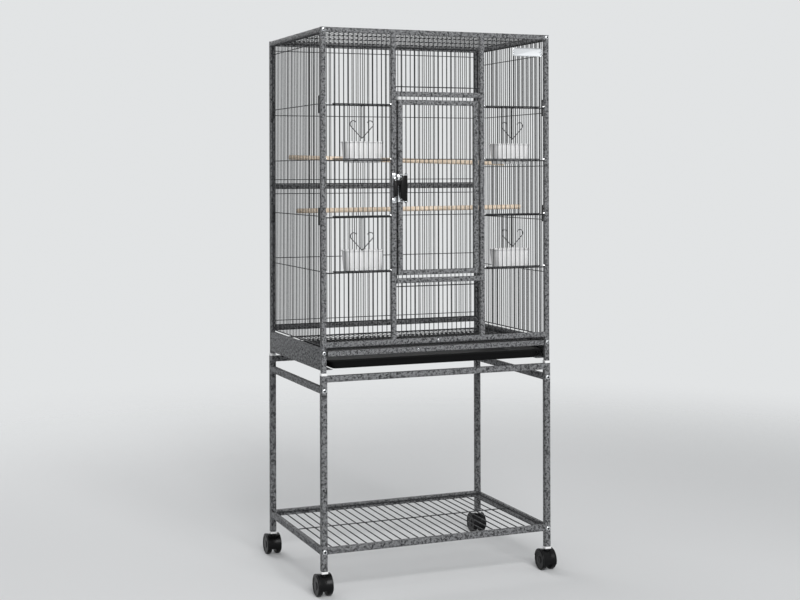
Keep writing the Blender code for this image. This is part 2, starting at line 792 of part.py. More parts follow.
LATCH_Z = 0.9660
LATCH_PIN = (-0.0915, -0.2205)
PIN_HALF = 0.0018
KEEPER_X = (-0.1190, -0.1132)
FOOT_X = (-0.1235, -0.1128)
KEEPER_FOOT = 0.0355
KEEPER_BEND = 0.0225
KEEPER_STAND = 0.0065
STRAP = 0.0016
CASE_X = (-0.1095, -0.0955)
CASE_HALF = 0.0335
EAR = 0.0020
BARREL_RADIUS = 0.0042
PADDLE_X = -0.0952
PADDLE_WIDE = 0.0088
PADDLE_HIGH = 0.0305
PADDLE_THICK = 0.0042
ARM_Z = (0.0070, 0.0200)
CLAW_HALF = 0.0185
CLAW_LIP = 0.0016
CLAW_ROOM = 0.0006
SPRING_X = (-0.1090, -0.1045)
SPRING_HALF = 0.0285
SPRING_BOW = 0.0044
SPRING_THICK = 0.0008


def latch_keeper():
    """Steel strap bent into a bridge, with a wider foot above and below."""
    face = -LEG_Y - POST_TUBE / 2 - FIT
    bend, slope = KEEPER_BEND, 0.003
    raised = face - KEEPER_STAND
    back = [(face, KEEPER_FOOT), (face, bend), (raised, bend - slope)]
    front = [(raised - STRAP, bend - slope + STRAP / 2), (face - STRAP, bend + STRAP / 2),
             (face - STRAP, KEEPER_FOOT)]
    outline = back + [(y, -z) for y, z in reversed(back)]
    outline += [(y, -z) for y, z in reversed(front)] + front
    bm = bmesh.new()
    add_prism(bm, [(y, LATCH_Z + z) for y, z in outline], along_x, *KEEPER_X)
    made = make("latch_keeper", bm, CHROME)
    for side in (-1, 1):
        inner, outer = sorted((LATCH_Z + side * (bend + STRAP), LATCH_Z + side * (KEEPER_FOOT + STRAP / 4)))
        bm = bmesh.new()
        add_box(bm, (FOOT_X[0], face - STRAP * 0.8, inner), (FOOT_X[1], face, outer))
        join(made, bm)
    return made


def latch_case():
    """Channel on the door's upright: a plate, two ears, the pin between them and a bowed spring."""
    face = -LEG_Y - POST_TUBE / 2 - FIT
    low, high = LATCH_Z - CASE_HALF, LATCH_Z + CASE_HALF
    left, right = CASE_X
    x, y = LATCH_PIN
    plate = 0.0015
    bm = bmesh.new()
    add_box(bm, (left, face - plate, low), (right, face, high))
    made = make("latch_case", bm, CHROME)
    ear_left = left + 0.0030
    nose = arc(PIN_HALF + 0.0032, -20, -140, 4, (x, y))
    for z0, z1 in ((low, low + EAR), (high - EAR, high)):
        bm = bmesh.new()
        outline = [(ear_left, face - plate / 3), (right - 0.0005, face - plate / 3),
                   (x + 0.005, y), *nose, (ear_left, face - 0.004)]
        add_prism(bm, outline, along_z, z0, z1)
        join(made, bm)
    bm = bmesh.new()
    add_rod(bm, (x, y, low + EAR / 2), (x, y, high + 0.002), PIN_HALF, 10)
    join(made, bm)
    bm = bmesh.new()
    add_rod(bm, (x, y, low - 0.002), (x, y, low + EAR / 2), PIN_HALF, 10)
    join(made, bm)
    bow = [(face - plate - SPRING_BOW * math.cos(math.pi * n / 8), LATCH_Z + SPRING_HALF * n / 4)
           for n in range(-4, 5)]
    inner = [(v + SPRING_THICK, z) for v, z in bow]
    bm = bmesh.new()
    add_prism(bm, bow + inner[::-1], along_x, *SPRING_X)
    return join(made, bm)


def latch_lever():
    """Moulded barrel round the pin, an oval thumb paddle and a claw that hooks round the bridge."""
    x, y = LATCH_PIN
    low, high = LATCH_Z - CASE_HALF + EAR + FIT, LATCH_Z + CASE_HALF - EAR - FIT
    bm = bmesh.new()
    add_rod(bm, (x, y, low), (x, y, high), BARREL_RADIUS, 14)
    made = make("latch_lever", bm, BLACK)
    bm = bmesh.new()
    oval = [(PADDLE_X + PADDLE_WIDE * u, LATCH_Z + PADDLE_HIGH * v)
            for u, v in arc(1.0, 0, 337.5, 15)]
    add_prism(bm, oval, along_y, y - 0.0030 - PADDLE_THICK, y - 0.0030)
    join(made, bm)
    bm = bmesh.new()
    add_box(bm, (KEEPER_X[1] - 0.001, y - 0.0035, LATCH_Z + ARM_Z[0]),
            (x - 0.002, y, LATCH_Z + ARM_Z[1]))
    join(made, bm)
    bm = bmesh.new()
    lip = KEEPER_X[0] - CLAW_ROOM
    hook = [(lip - CLAW_LIP, y - 0.0015), (lip - CLAW_LIP / 2, y - 0.0038), (KEEPER_X[1], y - 0.0038),
            (KEEPER_X[1], y - 0.0006), (lip, y - 0.0006), (lip, y + 0.0050),
            (lip - CLAW_LIP, y + 0.0050)]
    add_prism(bm, hook, along_z, LATCH_Z - CLAW_HALF, LATCH_Z + CLAW_HALF)
    join(made, bm)
    bm = bmesh.new()
    add_rod(bm, (x, y, low - 0.01), (x, y, high + 0.01), PIN_HALF + FIT, 10)
    cut(made, bm)
    round_off(made)
    return set_origin(made, (x, y, LATCH_Z))


# Feeder gates, cups and the clips that hold the cups down

LOOP_IN = 0.0020
LOOP_OUT = 0.0050
GATE_REST = 0.0006


def feeder_gate(name, side, low):
    """A wire gate whose corner loops slide on the guide wires."""
    half = EDGE_WIRE / 2
    z_low = low + half + GATE_REST
    z_high = z_low + GATE_HEIGHT
    near = DOOR_POST_X + POST_TUBE / 2 + 0.0035
    far = BAY_FIRST_X + BAY_GUIDES[1] * PITCH + LOOP_OUT
    ends = sorted((side * near, side * far))
    bm = bmesh.new()
    for z in (z_low, z_high):
        add_bar(bm, 0, ends[0], ends[1], (GATE_Y, z), EDGE_WIRE)
    made = make(name, bm, WIRE_COAT)
    bm = bmesh.new()
    for n in range(1, BAY_GATE_WIRES + 1):
        x = side * (BAY_FIRST_X + n * PITCH)
        add_bar(bm, 2, z_low, z_high, (x, GATE_Y), WIRE)
    ring = [(-half + FIT, LOOP_IN), (half - FIT, LOOP_IN),
            (half - FIT, LOOP_OUT), (-half + FIT, LOOP_OUT)]
    for n in (BAY_GUIDES[0], BAY_GUIDES[1]):
        for z in (z_low, z_high):
            x = side * (BAY_FIRST_X + n * PITCH)
            add_turned(bm, ring, (x, -LEG_Y, z), (0, 0, 1), 6, closed=True)
    join(made, bm)
    return set_origin(made, (side * (near + far) / 2, GATE_Y, z_low))


def seed_cup(name, x, low, drop):
    """Tapered cup behind the wires, with two hooks that lie on the lower edge wire."""
    front = -LEG_Y + EDGE_WIRE / 2 + FIT
    half = CUP_WALL / 2
    wide = CUP_WIDTH / 2 - CUP_LIP
    made = tub(name, (x - wide, front + CUP_LIP + half, low + FIT + half - drop),
               (x + wide, front + CUP_DEPTH - CUP_LIP, low + CUP_HEIGHT - drop),
               CUP_TAPER, CUP_CORNER, CUP_LIP, CUP_WALL, WHITE)
    bm = bmesh.new()
    for offset in (-HOOK_OFFSET, HOOK_OFFSET):
        add_box(bm, (x + offset - HOOK_WIDE / 2, -LEG_Y - WIRE / 2, low + FIT),
                (x + offset + HOOK_WIDE / 2, front + 2 * CUP_LIP + FIT, low + HOOK_HIGH))
    return join(made, bm)


CLIP_EYE = 0.0033
EYE_WIRE = 0.0016
CLIP_BASE = 0.0522
CURL_RADIUS = 0.0082
CURL_AT = (0.0215, 0.0335)


def wire_curve(name, points, radius, material):
    """A bent wire as a curve with filled caps, turned into a closed mesh."""
    curve = bpy.data.curves.new(name, "CURVE")
    curve.dimensions = "3D"
    curve.bevel_depth = radius
    curve.bevel_resolution = 1
    curve.use_fill_caps = True
    spline = curve.splines.new("POLY")
    spline.points.add(len(points) - 1)
    for place, point in zip(spline.points, points):
        place.co = (*point, 1.0)
    guide = bpy.data.objects.new(name + "_curve", curve)
    cage.objects.link(guide)
    graph = bpy.context.evaluated_depsgraph_get()
    mesh = bpy.data.meshes.new_from_object(guide.evaluated_get(graph))
    bm = bmesh.new()
    bm.from_mesh(mesh)
    bmesh.ops.remove_doubles(bm, verts=bm.verts, dist=1e-6)
    bpy.data.meshes.remove(mesh)
    bpy.data.objects.remove(guide)
    bpy.data.curves.remove(curve)
    return bm


def cup_clip(name, x, low):
    """Anchor-shaped wire that hangs from the upper edge wire over the cup's rim."""
    y = -LEG_Y
    pivot = low + FEEDER_OPEN + EDGE_WIRE / 2
    base = low + CLIP_BASE
    radius = CLIP_WIRE / 2
    half = EYE_WIRE / 2
    bm = bmesh.new()
    ring = [(-half, CLIP_EYE - half), (half, CLIP_EYE - half),
            (half, CLIP_EYE + half), (-half, CLIP_EYE + half)]
    add_turned(bm, ring, (x, y, pivot), (1, 0, 0), 8, closed=True)
    made = make(name, bm, WIRE_COAT)
    stem = [(x, y, pivot - CLIP_EYE), (x, y, base)]
    join(made, wire_curve("stem", stem, radius, WIRE_COAT))
    curl = arc(CURL_RADIUS, -38, 155, 5, CURL_AT)
    path = [(-u, v) for u, v in reversed(curl)] + [(0.0, 0.0)] + curl
    join(made, wire_curve("anchor", [(x + u, y, base + v) for u, v in path], radius, WIRE_COAT))
    round_off(made)
    return set_origin(made, (x, y, pivot))


# Perches

def perch(name, ends):
    """A dowel with eased ends that lies on the side panels' wires."""
    (y0, z0), (y1, z1) = ends
    start = Vector((-PERCH_REACH, y0, z0))
    end = Vector((PERCH_REACH, y1, z1))
    axis = (end - start).normalized()
    long = (end - start).length
    ease = 0.0012
    profile = [(0.0, 0.0), (0.0, PERCH_RADIUS - ease), (ease, PERCH_RADIUS),
               (long - ease, PERCH_RADIUS), (long, PERCH_RADIUS - ease), (long, 0.0)]
    bm = bmesh.new()
    add_turned(bm, profile, start, axis, 14, closed=False)
    return make(name, bm, PINE, smooth=True)


def build():
    stand_frame("stand_front_frame", -1)
    stand_frame("stand_back_frame", 1)
    for word, side in (("left", -1), ("right", 1)):
        stand_side_bar("stand_" + word + "_bar", side)
        shelf_side_rail("shelf_" + word + "_rail", side)
        runner("runner_" + word, side)
        bay_grilles(word, side)
        drop = SIDE_DROP_RIGHT if side > 0 else 0.0
        side_panel(word + "_panel", side, [z - drop for z in SIDE_HORIZONTALS])
        for level, low in zip(("lower", "upper"), FEEDER_LOW):
            place = level + "_" + word
            feeder_gate("feeder_gate_" + place, side, low)
            seed_cup("seed_cup_" + place, CUP_X[word], low, CUP_DROP[place])
            cup_clip("cup_clip_" + place, CLIP_X[word], low)
    shelf()
    hood = None
    for word, (x_side, y_side) in CORNERS.items():
        x, y = x_side * LEG_X, y_side * LEG_Y
        leg_sleeve("leg_sleeve_" + word, x, y)
        caster_socket("caster_socket_" + word, x, y)
        axle = (x, y + CASTER_TRAIL, WHEEL_RADIUS)
        if hood is None:
            hood = hood_mesh_object("caster_hood_" + word)
            hood.location = (x, y, 0.0)
            wheels = wheel_pair_object("caster_wheels_" + word)
            wheels.location = axle
        else:
            copy_of(hood, "caster_hood_" + word, (x, y, 0.0))
            copy_of(wheels, "caster_wheels_" + word, axle)
    front_frame()
    back_frame()
    centre_grilles()
    back_wires("back_wires_lower", RAIL_LOW_Z, RAIL_MID_Z, BACK_LOWER)
    back_wires("back_wires_upper", RAIL_MID_Z, RAIL_TOP_Z, BACK_UPPER)
    top_panel()
    grate()
    tray()
    door()
    latch_keeper()
    latch_case()
    latch_lever()
    perch("perch_upper", UPPER_PERCH)
    perch("perch_lower", LOWER_PERCH)


build()
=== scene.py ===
# %% [markdown]
# # A parrot cage on a wheeled stand
#
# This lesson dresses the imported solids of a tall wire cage: powder-coated
# square tube, several hundred straight wires, moulded plastic cups and
# casters, a plated latch and two pine perches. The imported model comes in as
# a fixed frame. Each new piece takes its place from that frame, so it lands
# on what carries it and moves with it.

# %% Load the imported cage
import json
import math

import bmesh
import bpy
from mathutils import Matrix, Vector


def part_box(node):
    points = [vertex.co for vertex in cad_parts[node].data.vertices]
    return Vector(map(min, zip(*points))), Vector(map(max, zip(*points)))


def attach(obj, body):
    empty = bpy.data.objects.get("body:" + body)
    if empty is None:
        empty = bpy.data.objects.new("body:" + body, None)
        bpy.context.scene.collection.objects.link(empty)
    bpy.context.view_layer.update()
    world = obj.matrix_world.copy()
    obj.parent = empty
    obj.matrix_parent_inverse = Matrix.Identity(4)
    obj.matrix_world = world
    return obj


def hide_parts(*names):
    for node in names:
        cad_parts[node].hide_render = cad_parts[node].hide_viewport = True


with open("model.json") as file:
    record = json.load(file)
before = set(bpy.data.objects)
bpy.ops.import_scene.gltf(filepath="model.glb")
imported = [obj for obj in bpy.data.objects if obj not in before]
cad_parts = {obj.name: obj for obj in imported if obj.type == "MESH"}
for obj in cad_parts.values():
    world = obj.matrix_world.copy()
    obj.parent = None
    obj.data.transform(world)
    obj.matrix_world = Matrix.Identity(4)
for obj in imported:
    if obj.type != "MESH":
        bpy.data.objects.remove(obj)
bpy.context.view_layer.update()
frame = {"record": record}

# %% [markdown]
# ## Sizes that the pieces share
#
# A cage is laid out on a few sizes: the tube it is welded from, the wire, and
# the gap between two wires. The tube sizes and the planes that the walls
# stand in are read from the frame. The wire gauge and the pitch are the
# maker's own choice, so they are written once here. Two solids that touch
# have a hair of air between them, which is the first number.

# %% Read the planes of the walls and set the wire gauge
def extent(name, axis=2):
    """Where a solid's box begins and ends along an axis, upwards unless stated."""
    return [corner[axis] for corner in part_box(name)]


def middle(name, axis=2):
    """The middle of a solid's box along an axis."""
    return sum(extent(name, axis)) / 2


def span(name, axis):
    """The size of a solid's box along an axis."""
    low, high = extent(name, axis)
    return high - low


GAP = 0.0003
POST, LEG = span("back_frame", 1), span("stand_left_bar", 0)
LEG_X, BACK_Y = middle("stand_right_bar", 0), middle("back_frame", 1)
FRONT_Y = -BACK_Y
POST_BOTTOM, TOP_Z = extent("back_frame")
LEG_BOTTOM, LEG_TOP = extent("stand_front_frame")
WIRE, EDGE_WIRE, THICK_WIRE = 0.0020, 0.0030, 0.0040
PITCH, BAY_FIRST_X = 0.01213, 0.1356
print("post", round(POST, 4), "leg", round(LEG, 4), "top", round(TOP_Z, 3))

# %% [markdown]
# ## Heights of the rails
#
# The rails sit where the wire mats end, so each height is read from the mat
# that touches it. That way a rail can't drift away from its wires.

# %% Read the heights of the rails and of the feeder openings
HALF_POST, HALF_LEG, EDGE_HALF = POST / 2, LEG / 2, EDGE_WIRE / 2
TOP_RAIL_Z = TOP_Z - HALF_POST
LOW_RAIL_Z, MID_RAIL_Z, HEADER_Z = (extent(mat)[0] - GAP - HALF_POST for mat in (
    "left_bay_low_wires", "back_wires_upper", "header_wires"))
SILL_Z = extent("sill_wires")[1] + GAP + HALF_POST
DOOR_POST_X = extent("header_wires", 0)[1] + GAP + HALF_POST
FEEDER_LOW = {"lower": extent("left_bay_low_wires")[1], "upper": extent("left_bay_mid_wires")[1]}
FEEDER_OPEN = extent("left_bay_mid_wires")[0] - FEEDER_LOW["lower"]
SIDES = (("left", -1), ("right", 1))
FEEDERS = [(level, word, side) for level in FEEDER_LOW for word, side in SIDES]
CORNERS = {f"{end}_{word}": (side * LEG_X, y) for end, y in (("front", FRONT_Y), ("back", BACK_Y))
           for word, side in SIDES}
print("rails at", [round(z, 4) for z in (LOW_RAIL_Z, SILL_Z, MID_RAIL_Z, HEADER_Z, TOP_RAIL_Z)])

# %% [markdown]
# ## Camera
#
# The picture was taken from the left, with the camera held level at three
# quarters of the cage's height, so upright posts stay upright. A level camera
# with a shifted lens keeps them that way; tilting it would make them lean.
# The camera was held a seventh of a degree off level, which the roll repeats.

# %% Place a level camera with a shifted lens
CAMERA_AT = (-1.3994, -3.4039, 1.0044)
CAMERA_YAW, CAMERA_ROLL = math.radians(-22.103), math.radians(0.145)
LENS_MM, HORIZON_SHIFT = 64.14, -0.1595

scene = bpy.context.scene
lens = bpy.data.cameras.new("camera")
lens.lens = LENS_MM
lens.shift_y = HORIZON_SHIFT
camera = bpy.data.objects.new("camera", lens)
camera.location = CAMERA_AT
camera.rotation_euler = (math.pi / 2, CAMERA_ROLL, CAMERA_YAW)
scene.collection.objects.link(camera)
scene.camera = camera
scene.view_settings.view_transform = "Standard"
print("camera stands", CAMERA_AT, "metres from the floor centre")

# %% [markdown]
# ## Adding nodes
#
# Every finish here is worked out by nodes, and each node needs the same three
# things: a kind, a few settings and some links. One small helper does it, and
# one function turns the hex colours of a paint chart to linear light. The
# nodes that most finishes share, a cloudy noise, a remapped range, a blend
# and the links to the shader, have short names of their own.

# %% One helper for nodes and one for colours
def colour(hex_text):
    """An sRGB hex colour as linear RGBA."""
    parts = [int(hex_text[i:i + 2], 16) / 255 for i in (1, 3, 5)]
    linear = [c / 12.92 if c <= 0.04045 else ((c + 0.055) / 1.055) ** 2.4 for c in parts]
    return (*linear, 1.0)


def node(tree, kind, settings=None, **inputs):
    """Add a node; an input is a value or the output socket that feeds it."""
    made = tree.nodes.new(kind)
    for name, value in (settings or {}).items():
        setattr(made, name, value)
    for name, value in inputs.items():
        key = int(name[1:]) if name[0] == "_" else name.replace("_", " ")
        socket = made.inputs[key]
        if isinstance(value, bpy.types.NodeSocket):
            tree.links.new(value, socket)
        else:
            socket.default_value = value
    return made


# %% The nodes that most finishes share
def start_finish(name, **shader_values):
    """A material with its shader set; returns it with its tree, shader and Object coordinates."""
    made = bpy.data.materials.new(name)
    made.use_nodes = True
    tree = made.node_tree
    shader = tree.nodes["Principled BSDF"]
    for key, value in shader_values.items():
        shader.inputs[key.replace("_", " ")].default_value = value
    return made, tree, shader, node(tree, "ShaderNodeTexCoord").outputs["Object"]


def per_metre(millimetres):
    """The scale that makes one cell of a pattern this wide."""
    return 1000.0 / millimetres


def noise(tree, place, scale, detail, output="Fac", **inputs):
    """Cloudy noise."""
    return node(tree, "ShaderNodeTexNoise", Vector=place, Scale=scale, Detail=detail,
                **inputs).outputs[output]


def remap(tree, value, low, high, to_low=0.0, to_high=1.0):
    """A value's range stretched to another one, and clamped there."""
    return node(tree, "ShaderNodeMapRange", Value=value, From_Min=low, From_Max=high,
                To_Min=to_low, To_Max=to_high).outputs[0]


def blend(tree, share, first, second):
    """Two colours mixed by a pattern."""
    return node(tree, "ShaderNodeMixRGB", Fac=share, Color1=first, Color2=second).outputs["Color"]


def link_finish(tree, shader, height, strength, depth_mm, **sockets):
    """Feed the shader, with a bump of a stated depth from the height."""
    bump = node(tree, "ShaderNodeBump", Strength=strength, Distance=depth_mm / 1000, Height=height)
    for key, socket in {"Normal": bump.outputs["Normal"], **sockets}.items():
        tree.links.new(socket, shader.inputs[key.replace("_", " ")])

# %% [markdown]
# ## Hammered powder coat
#
# The tubes are sprayed with a silver-vein powder and baked. As it melts, the
# dark base draws together in small islands and bright metal flake gathers in
# the veins between them. It gathers in pools: in some patches the veins run
# wide, in others they nearly close, and that is why the coat looks cloudy
# from afar. Voronoi cells give the islands, a noise with fine detail bends
# their edges and a smooth one sets the veins' width. The same pattern makes
# the bump, so the islands stand up and the veins lie low.
#
# The cells are drawn a little coarser than real, at 2.6 mm on the tubes and
# 1.5 mm on the wires, so that they show at the size of the picture.

# %% Mix the silver-vein powder coat
# The noises' sizes, the drift's push and the veins' half widths are in cells of the coat.
DRIFT_CELLS, DRIFT_BY, POOL_CELLS, PATCH_CELLS = 2.4, 0.35, 2.2, 3.1
VEIN_NARROW, VEIN_WIDE = 0.08, 0.50
VEIN_GLOSSIER, ISLAND_DULLER = 0.14, 0.06


def vein_coat(name, cell_mm, base, island, vein, roughness):
    """Dark islands between bright veins; the eye sees a coarse salt-and-pepper grain."""
    made, tree, shader, place = start_finish(name, Specular_IOR_Level=0.1)
    drift = noise(tree, place, per_metre(DRIFT_CELLS * cell_mm), 3.0, "Color")
    bent = node(tree, "ShaderNodeMixRGB", {"blend_type": "ADD"}, Fac=DRIFT_BY * cell_mm / 1000,
                Color1=place, Color2=drift)
    cells = node(tree, "ShaderNodeTexVoronoi", {"feature": "DISTANCE_TO_EDGE"},
                 Vector=bent.outputs["Color"], Scale=per_metre(cell_mm))
    pools = noise(tree, place, per_metre(POOL_CELLS * cell_mm), 1.0)
    width = remap(tree, pools, 0.38, 0.62, VEIN_NARROW, VEIN_WIDE)
    veins = remap(tree, cells.outputs["Distance"], 0.0, width)
    patches = noise(tree, place, per_metre(PATCH_CELLS * cell_mm), 4.0, Roughness=0.65)
    ground = blend(tree, remap(tree, patches, 0.36, 0.62), colour(base), colour(island))
    tint = blend(tree, veins, colour(vein), ground)
    gloss = remap(tree, veins, 0.0, 1.0, roughness - VEIN_GLOSSIER, roughness + ISLAND_DULLER)
    link_finish(tree, shader, veins, 0.35, 0.4, Base_Color=tint, Roughness=gloss)
    return made


TUBE_COAT = vein_coat("silver_vein_powder_coat", 2.6, "#060607", "#111213", "#8f9092", 0.56)
WIRE_COAT = vein_coat("powder_coated_wire", 1.5, "#0b0b0c", "#18191a", "#4a4b4d", 0.52)
print("coats:", TUBE_COAT.name, WIRE_COAT.name)

# %% [markdown]
# ## Moulded plastics
#
# The cups and plugs are injection-moulded polypropylene: milky white, with a
# soft satin skin that varies a little where the melt flowed. The casters and
# the latch lever are black nylon, glossier, and the tray is black
# polystyrene with a fine etched grain. One function mixes all of them: a
# faint mottle, a grain in the bump and a drift in the gloss.

# %% Mix the moulded plastics
FLOW_MM = 14.0


def moulded(name, tint, mottle, grain_mm, rough_low, rough_high, bump_mm, **shader_values):
    """Moulded skin; the eye sees a soft sheen that isn't quite even."""
    made, tree, shader, place = start_finish(name, **shader_values)
    shade = blend(tree, noise(tree, place, per_metre(FLOW_MM), 3.0), colour(tint), colour(mottle))
    grain = noise(tree, place, per_metre(grain_mm), 2.0)
    gloss = remap(tree, grain, 0.3, 0.7, rough_low, rough_high)
    link_finish(tree, shader, grain, 0.3, bump_mm, Base_Color=shade, Roughness=gloss)
    return made


POLYPROPYLENE = moulded("white_moulded_polypropylene", "#fafafa", "#f1f1f2", 3.0, 0.30, 0.42,
                        0.05, IOR=1.49)
BLACK_NYLON = moulded("black_moulded_nylon", "#060607", "#0c0c0d", 2.0, 0.24, 0.36, 0.05, IOR=1.53,
                      Specular_IOR_Level=0.16)
TRAY_BLACK = moulded("black_grained_polystyrene", "#050506", "#0a0a0b", 1.2, 0.46, 0.60, 0.12,
                     IOR=1.59, Specular_IOR_Level=0.1)
print("plastics:", POLYPROPYLENE.name, BLACK_NYLON.name, TRAY_BLACK.name)

# %% [markdown]
# ## Bright metals and pine
#
# Chrome on a cheap stamping follows the steel under it, so it ripples a
# little and is never a perfect mirror. The weld beads are a pale bare metal,
# paler and less sharp than chrome, whose brightness is a painted highlight
# for the glints at the thick wires' ends. Satin anodised aluminium only
# glimmers. The perches are pine dowels turned along the grain: pale early
# wood, thin darker late wood in long streaks, and a dry, open surface that
# scatters light.

# %% Mix the bright metals and the pine
GRAIN_STRETCH = (6.0, per_metre(2.0), per_metre(2.0))


def bright_metal(name, tint, ripple_mm, rough_low, rough_high):
    """Bare or plated metal that isn't flat; the eye sees a rippled sheen."""
    made, tree, shader, place = start_finish(name, Metallic=1.0, Base_Color=colour(tint))
    ripple = noise(tree, place, per_metre(ripple_mm), 2.0)
    haze = remap(tree, ripple, 0.0, 1.0, rough_low, rough_high)
    link_finish(tree, shader, ripple, 0.25, 0.2, Roughness=haze)
    return made


def turned_pine():
    """Dowel turned along the grain; the eye sees long pale streaks."""
    made, tree, shader, place = start_finish("turned_pine", IOR=1.45)
    along = node(tree, "ShaderNodeMapping", Vector=place, Scale=GRAIN_STRETCH)
    growth = noise(tree, along.outputs["Vector"], 1.0, 4.0, Roughness=0.6)
    tint = blend(tree, remap(tree, growth, 0.42, 0.7), colour("#ffeed9"), colour("#f8dcbd"))
    dry = remap(tree, growth, 0.0, 1.0, 0.55, 0.75)
    link_finish(tree, shader, growth, 0.3, 0.3, Base_Color=tint, Roughness=dry)
    return made


CHROME = bright_metal("bright_chrome_plate", "#d3d5d7", 2.5, 0.08, 0.26)
# Pale bare metal for the weld beads: a painted highlight that stands in for glints.
GLINT_BEAD_METAL = bright_metal("glint_bead_metal", "#f4f4f5", 0.8, 0.20, 0.32)
ALUMINIUM = bright_metal("satin_anodised_aluminium", "#c8cacc", 5.0, 0.58, 0.68)
PINE = turned_pine()
print("metal and wood:", CHROME.name, GLINT_BEAD_METAL.name, ALUMINIUM.name, PINE.name)

# %% [markdown]
# ## Floor and light
#
# A studio shot of dark wire needs a pale ground and large soft lamps: the
# pale ground shows between the wires, and the lamps shade the tubes gently,
# without hard sparks. The floor fades out into the backdrop, so no horizon
# cuts behind the cage. The backdrop is bright where the camera or a
# reflection sees it and gives less light than it shows, so that the sides
# turned away from the lamps stay dark.

# %% Lay the floor and hang the lamps
FLOOR_HALF = 6.0
FADE_FROM, FADE_TO = 1.2, 3.4
SKY_LIGHT, SKY_SEEN = 0.32, 0.84
CAGE_MIDDLE = Vector((0, 0, 0.75))
LAMPS = (("key_softbox", (-0.2, -3.8, 2.9), 2.2, 138),
         ("fill_softbox", (-3.4, -1.2, 1.6), 2.4, 2),
         ("back_softbox", (-0.8, 3.2, 2.8), 2.4, 60))


def floor_finish():
    """Matt board that thins out to nothing far from the cage."""
    made, tree, shader, place = start_finish("matt_studio_floor", Roughness=0.9,
                                             Base_Color=colour("#e3e4e5"))
    reach = node(tree, "ShaderNodeVectorMath", {"operation": "LENGTH"}, _0=place)
    fade = node(tree, "ShaderNodeMapRange", {"interpolation_type": "SMOOTHSTEP"},
                Value=reach.outputs["Value"], From_Min=FADE_FROM, From_Max=FADE_TO)
    clear = node(tree, "ShaderNodeBsdfTransparent")
    mixed = node(tree, "ShaderNodeMixShader", Fac=fade.outputs[0], _1=shader.outputs[0],
                 _2=clear.outputs[0])
    tree.links.new(mixed.outputs[0], tree.nodes["Material Output"].inputs["Surface"])
    return made


bm = bmesh.new()
bmesh.ops.create_grid(bm, x_segments=1, y_segments=1, size=FLOOR_HALF)
floor_mesh = bpy.data.meshes.new("studio_floor")
bm.to_mesh(floor_mesh)
bm.free()
floor_mesh.materials.append(floor_finish())
floor = bpy.data.objects.new("studio_floor", floor_mesh)
scene.collection.objects.link(floor)

for name, place, size, watts in LAMPS:
    light = bpy.data.lights.new(name, "AREA")
    light.size = size
    light.energy = watts
    lamp = bpy.data.objects.new(name, light)
    lamp.location = place
    lamp.rotation_euler = (CAGE_MIDDLE - Vector(place)).to_track_quat("-Z", "Y").to_euler()
    scene.collection.objects.link(lamp)

world = bpy.data.worlds.new("studio")
world.use_nodes = True
scene.world = world
tree = world.node_tree
backdrop = tree.nodes["Background"]
rays = node(tree, "ShaderNodeLightPath")
seen = node(tree, "ShaderNodeMath", {"operation": "MAXIMUM"}, _0=rays.outputs["Is Camera Ray"],
            _1=rays.outputs["Is Glossy Ray"])
backdrop.inputs["Color"].default_value = colour("#f4f6f7")
tree.links.new(remap(tree, seen.outputs[0], 0.0, 1.0, SKY_LIGHT, SKY_SEEN), backdrop.inputs["Strength"])

# %% [markdown]
# ## Blocks, tubes and wires
#
# Almost everything in a cage is a block, a square tube or a length of wire. A
# cube with bevelled edges gives the first two: a drawn tube's edges are
# rounded to about an eighth of its side, and that is where it catches light.
# A capped cone with two equal radii is the wire. Where two wires are
# resistance-welded the metal squeezes out into a small nugget, which a coarse
# icosphere is enough for.

# %% Helpers for blocks, tubes, wires and weld nuggets
TUBE_ROUNDING = 0.13
NEAR = 1e-6


def edges_of(verts):
    """The edges that touch these vertices, each once."""
    return list(dict.fromkeys(edge for vert in verts for edge in vert.link_edges))


def ease(bm, edges, width, segments=2):
    """Round some edges over a width."""
    bmesh.ops.bevel(bm, geom=edges, offset=width, offset_type="OFFSET", segments=segments,
                    profile=0.5, affect="EDGES", material=-1)


def add_block(bm, low, high, rounding=0.0, axis=None, segments=2):
    """A box with its edges rounded: all of them, or those along one axis."""
    low, high = Vector(low), Vector(high)
    place = Matrix.Translation((low + high) / 2) @ Matrix.Diagonal((*(high - low), 1.0))
    edges = edges_of(bmesh.ops.create_cube(bm, size=1.0, matrix=place)["verts"])
    if axis is not None:
        edges = [e for e in edges if abs((e.verts[0].co - e.verts[1].co)[axis]) > NEAR]
    if rounding:
        ease(bm, edges, rounding, segments)


def add_tube(bm, axis, start, end, centre, size):
    """A square tube along an axis; centre holds its two other coordinates."""
    low = [c - size / 2 for c in centre]
    high = [c + size / 2 for c in centre]
    low.insert(axis, start)
    high.insert(axis, end)
    add_block(bm, low, high, TUBE_ROUNDING * size, axis)


def add_wire(bm, start, end, thick, sides=10):
    """A straight round wire."""
    start, end = Vector(start), Vector(end)
    turn = (end - start).to_track_quat("Z", "Y").to_matrix().to_4x4()
    bmesh.ops.create_cone(bm, cap_ends=True, segments=sides, radius1=thick / 2, radius2=thick / 2,
                          depth=(end - start).length, matrix=Matrix.Translation((start + end) / 2) @ turn)


def add_nugget(bm, place, size):
    """The lump of metal squeezed out at a spot weld."""
    bmesh.ops.create_icosphere(bm, subdivisions=1, radius=size / 2, matrix=Matrix.Translation(place))

# %% [markdown]
# ## Rings, bends, turned and extruded shapes
#
# The other shapes follow from one section each. A ring is a small circle spun
# round an axis, a turned piece is a profile spun the same way, a bent wire is
# a disc extruded from point to point and swung into the new direction at each
# bend, and a pressing or a fold is an outline extruded along its width.

# %% Helpers for rings and turned shapes
def new_verts(bm, count):
    """The vertices added since the bmesh had this many."""
    bm.verts.ensure_lookup_table()
    return bm.verts[count:]


def facing(place, direction):
    """The matrix that stands a flat shape at a place, across a direction."""
    turn = Vector((0, 0, 1)).rotation_difference(direction).to_matrix().to_4x4()
    return Matrix.Translation(place) @ turn


